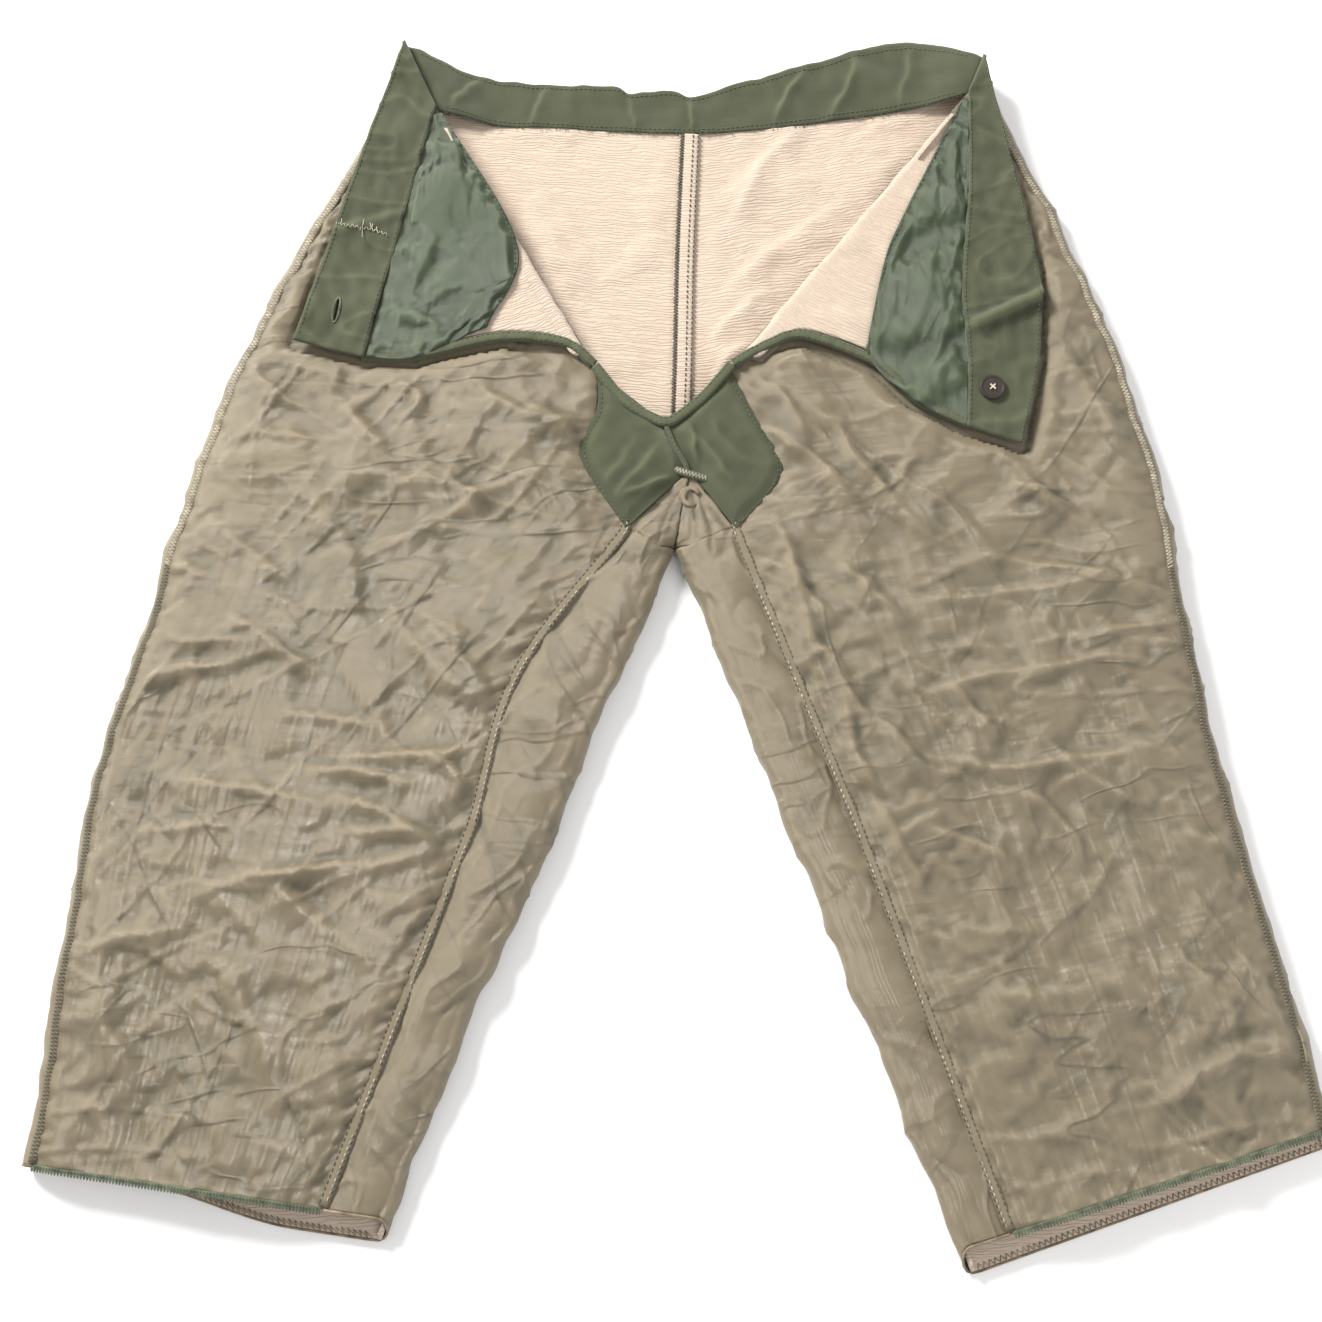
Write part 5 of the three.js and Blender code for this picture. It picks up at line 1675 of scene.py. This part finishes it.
def build_centre_seam():
    """The centre back seam on the pile: a low welt, overlocked on its left, with two rows of dark
    topstitch."""
    top, foot = vec(*BACK_CENTRE), vec(*FORK)
    upper, lower = top * 0.7 + foot * 0.3 + vec(-0.6, 0), top * 0.4 + foot * 0.6 + vec(0.5, 0)
    line = smooth([top + vec(0, -1), upper, lower, top * 0.08 + foot * 0.92], 160)
    seat = GRIDS["left seat"]
    z = np.full(160, float(np.percentile(seat[..., 2], 40)) + 1.6)
    path = np.column_stack([line, z])
    welt = swept("centre_back_welt", path, rounded(13, 2.6, 14, 0.8), finish_of("pile"))
    on_body(welt, "trouser", "pile_lining", "centre_back_seam")
    rows = (
        ("overlock", zigzag(beside(path, -5.0, 1.35), 3.6, 2.2), 0.36, "dark thread"),
        ("edge_stitches", lockstitches(beside(path, -6.8, 0.9), 2.6, 0.7), 0.34, "thread"),
        ("inner_topstitch", lockstitches(beside(path, 2.6, 1.35), 2.8, 1.0), 0.42, "dark thread"),
        ("outer_topstitch", lockstitches(beside(path, 6.2, 0.7), 2.8, 1.0), 0.42, "dark thread"),
    )
    for label, stitches, radius, thread in rows:
        piece = spindles(f"centre_back_{label}", *stitches, radius, finish_of(thread))
        on_body(piece, "trouser", "seam_thread")


# ---------------------------------------------------------------- fastening

def build_fastening():
    """The button and its thread keep the frame's shapes. The buttonhole is a ring of close stitches round
    the cut, and a worn row of stitches crosses the left band."""
    nodes = frame["nodes"]
    for node, finish in (("button", "button"), ("button_thread", "thread")):
        nodes[node].data.materials.clear()
        nodes[node].data.materials.append(finish_of(finish))
    band = GRIDS["left band"]

    def height(points):
        """The band's height at the grid point nearest to each point."""
        flat = band[12:].reshape(-1, 3)
        away = ((flat[None, :, :2] - points[:, None, :2]) ** 2).sum(-1)
        return flat[away.argmin(1), 2]

    turn = np.linspace(0, 2 * np.pi, 66)
    half = SLOT[1] / 2
    ring = np.column_stack([np.cos(turn), np.sin(turn)])
    lean = vec(SLOT_LEAN / half, 1)
    inner = BUTTONHOLE + ring * vec(SLOT[0] / 2 + 0.2, 0) + (ring[:, 1:] * (half + 0.3)) * lean
    outer = BUTTONHOLE + ring * vec(SLOT[0] / 2 + 2.2, 0) + (ring[:, 1:] * (half + 2.0)) * lean
    starts = np.column_stack([inner, height(inner) + 0.1])
    ends = np.column_stack([outer, height(outer) + 0.3])
    stitches = spindles("buttonhole_stitches", starts, ends, 0.4, finish_of("green thread"))
    on_body(stitches, "left_flap", "green_thread", "buttonhole_stitching")
    line = smooth([(-238, 299), (-226, 296), (-214, 295), (-202, 291)], 60)
    line = np.column_stack([line, height(line) + 0.35])
    starts, ends = zigzag(line, 2.6, 3.4)
    rng = np.random.default_rng(9)
    ends = ends + rng.uniform(-0.5, 0.5, ends.shape)
    loose = at_lengths(line, rng.uniform(1, 34, 8))
    spread = [rng.uniform(low, high, 8) for low, high in ((-3, 3), (-9, 9), (0, 0.8))]
    tips = loose + np.column_stack(spread)
    starts, ends = np.concatenate([starts, loose]), np.concatenate([ends, tips])
    stitches = spindles("band_worn_stitches", starts, ends, 0.3, finish_of("thread"))
    on_body(stitches, "left_flap", "seam_thread", "waistband_bartack")


# ---------------------------------------------------------------- floor, lights and camera

def plain_material(name, colour, roughness):
    """An even matt finish, for the floor."""
    material = bpy.data.materials.new(name)
    material.use_nodes = True
    shader = material.node_tree.nodes["Principled BSDF"]
    shader.inputs["Base Color"].default_value = colour
    shader.inputs["Roughness"].default_value = roughness
    return material


def area_light(name, place, size, power, colour):
    """A round soft light that looks at the middle of the garment."""
    data = bpy.data.lights.new(name, "AREA")
    data.shape, data.size, data.energy, data.color = "DISK", size, power, colour
    obj = bpy.data.objects.new(name, data)
    obj.location = place
    obj.rotation_euler = (-Vector(place)).to_track_quat("-Z", "Y").to_euler()
    bpy.context.scene.collection.objects.link(obj)


# The camera, and the point in garment millimetres that it looks at.
CAMERA_DISTANCE = 1.3
CAMERA_TILT = math.radians(15)
HALF_VIEW = math.radians(18.3)
LOOK_AT = (-18.0, 0.0)
FLOOR_HALF = 4.0
FLOOR_HEIGHT = -0.0006
ROOM_LIGHT = 0.62


def build_stage():
    """A pale floor, soft light from the upper left with a gentle fill, and the camera above the
    garment."""
    corners = ((-1, -1), (1, -1), (1, 1), (-1, 1))
    verts = np.array([(x * FLOOR_HALF, y * FLOOR_HALF, FLOOR_HEIGHT) for x, y in corners])
    pale = plain_material("Floor", (0.9, 0.9, 0.9, 1), 0.9)
    floor = new_mesh("floor", verts, np.array([[0, 1, 2, 3]]), pale)
    world = bpy.data.worlds.new("Soft room")
    world.use_nodes = True
    world.node_tree.nodes["Background"].inputs[0].default_value = (1, 1, 1, 1)
    world.node_tree.nodes["Background"].inputs[1].default_value = ROOM_LIGHT
    bpy.context.scene.world = world
    bpy.context.scene.view_settings.view_transform = "Standard"
    area_light("key", (-1.8, 1.9, 1.75), 1.0, 180, (1, 0.975, 0.94))
    area_light("fill", (1.2, -0.9, 1.8), 1.6, 20, (1, 0.99, 0.97))
    data = bpy.data.cameras.new("camera")
    data.sensor_width = 36
    data.lens = 18 / math.tan(HALF_VIEW)
    data.clip_start, data.clip_end = 0.05, 20
    camera = bpy.data.objects.new("camera", data)
    centre = to_row(vec(*LOOK_AT, 0))
    back = vec(0, -math.sin(CAMERA_TILT), math.cos(CAMERA_TILT))
    camera.location = centre + back * CAMERA_DISTANCE
    camera.rotation_euler = (CAMERA_TILT, 0, 0)
    bpy.context.scene.collection.objects.link(camera)
    bpy.context.scene.camera = camera


# ---------------------------------------------------------------- operators and panel

class LINER_OT_shell(bpy.types.Operator):
    """Builds the nylon front and back panels of both sides"""

    bl_idname = "liner.shell"
    bl_label = "Shell"

    def execute(self, context):
        for name in SIDES:
            build_shell(name)
        return {"FINISHED"}


class LINER_OT_linings(bpy.types.Operator):
    """Builds the pile linings"""

    bl_idname = "liner.linings"
    bl_label = "Linings"

    def execute(self, context):
        for name in SIDES:
            build_linings(name)
        return {"FINISHED"}


class LINER_OT_flaps(bpy.types.Operator):
    """Builds the turned-back fronts with their facings"""

    bl_idname = "liner.flaps"
    bl_label = "Turned-back fronts"

    def execute(self, context):
        for name in SIDES:
            build_flap(name)
        return {"FINISHED"}


class LINER_OT_waistband(bpy.types.Operator):
    """Builds the waistband round the back and on both fronts"""

    bl_idname = "liner.waistband"
    bl_label = "Waistband"

    def execute(self, context):
        build_back_band()
        for name in SIDES:
            build_front_band(name)
        return {"FINISHED"}


class LINER_OT_crotch(bpy.types.Operator):
    """Builds the gussets, the bound fly edges and the crotch seam"""

    bl_idname = "liner.crotch"
    bl_label = "Crotch and fly edges"

    def execute(self, context):
        for name in SIDES:
            build_gusset(name)
            build_fly_binding(name)
            build_fly_turn(name)
        build_crotch()
        return {"FINISHED"}


class LINER_OT_seams(bpy.types.Operator):
    """Builds the inseams, outseams, hems and the centre back seam"""

    bl_idname = "liner.seams"
    bl_label = "Seams and hems"

    def execute(self, context):
        for name in SIDES:
            build_seams(name)
            build_hem(name)
        build_centre_seam()
        return {"FINISHED"}


class LINER_OT_fastening(bpy.types.Operator):
    """Finishes the button, the buttonhole and the worn stitching of the band"""

    bl_idname = "liner.fastening"
    bl_label = "Fastening"

    def execute(self, context):
        build_fastening()
        return {"FINISHED"}


class LINER_OT_stage(bpy.types.Operator):
    """Sets up the floor, the lights and the camera"""

    bl_idname = "liner.stage"
    bl_label = "Stage"

    def execute(self, context):
        build_stage()
        return {"FINISHED"}


OPERATORS = (
    LINER_OT_stage, LINER_OT_shell, LINER_OT_linings, LINER_OT_flaps, LINER_OT_waistband, LINER_OT_crotch,
    LINER_OT_seams, LINER_OT_fastening,
)


class LINER_PT_panel(bpy.types.Panel):
    """Lists the liner's sizes, colours and pieces"""

    bl_idname = "LINER_PT_panel"
    bl_label = "Trouser Liner"
    bl_space_type = "VIEW_3D"
    bl_region_type = "UI"
    bl_category = "Liner"

    def draw(self, context):
        layout = self.layout
        for group_name in ("liner_sizes", "liner_colours"):
            values = getattr(context.scene, group_name)
            for key in values.__annotations__:
                layout.prop(values, key)
        for operator in OPERATORS:
            layout.operator(operator.bl_idname)


CLASSES = (LinerColours, LinerSizes, *OPERATORS, LINER_PT_panel)


def register():
    """Registers the settings, the operators and the panel."""
    for cls in CLASSES:
        bpy.utils.register_class(cls)
    bpy.types.Scene.liner_colours = bpy.props.PointerProperty(type=LinerColours)
    bpy.types.Scene.liner_sizes = bpy.props.PointerProperty(type=LinerSizes)


def unregister():
    """Takes away what register added."""
    del bpy.types.Scene.liner_sizes
    del bpy.types.Scene.liner_colours
    for cls in reversed(CLASSES):
        bpy.utils.unregister_class(cls)


def main():
    """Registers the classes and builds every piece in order."""
    register()
    for operator in OPERATORS:
        module, name = operator.bl_idname.split(".")
        getattr(getattr(bpy.ops, module), name)()


if __name__ == "__main__":
    main()
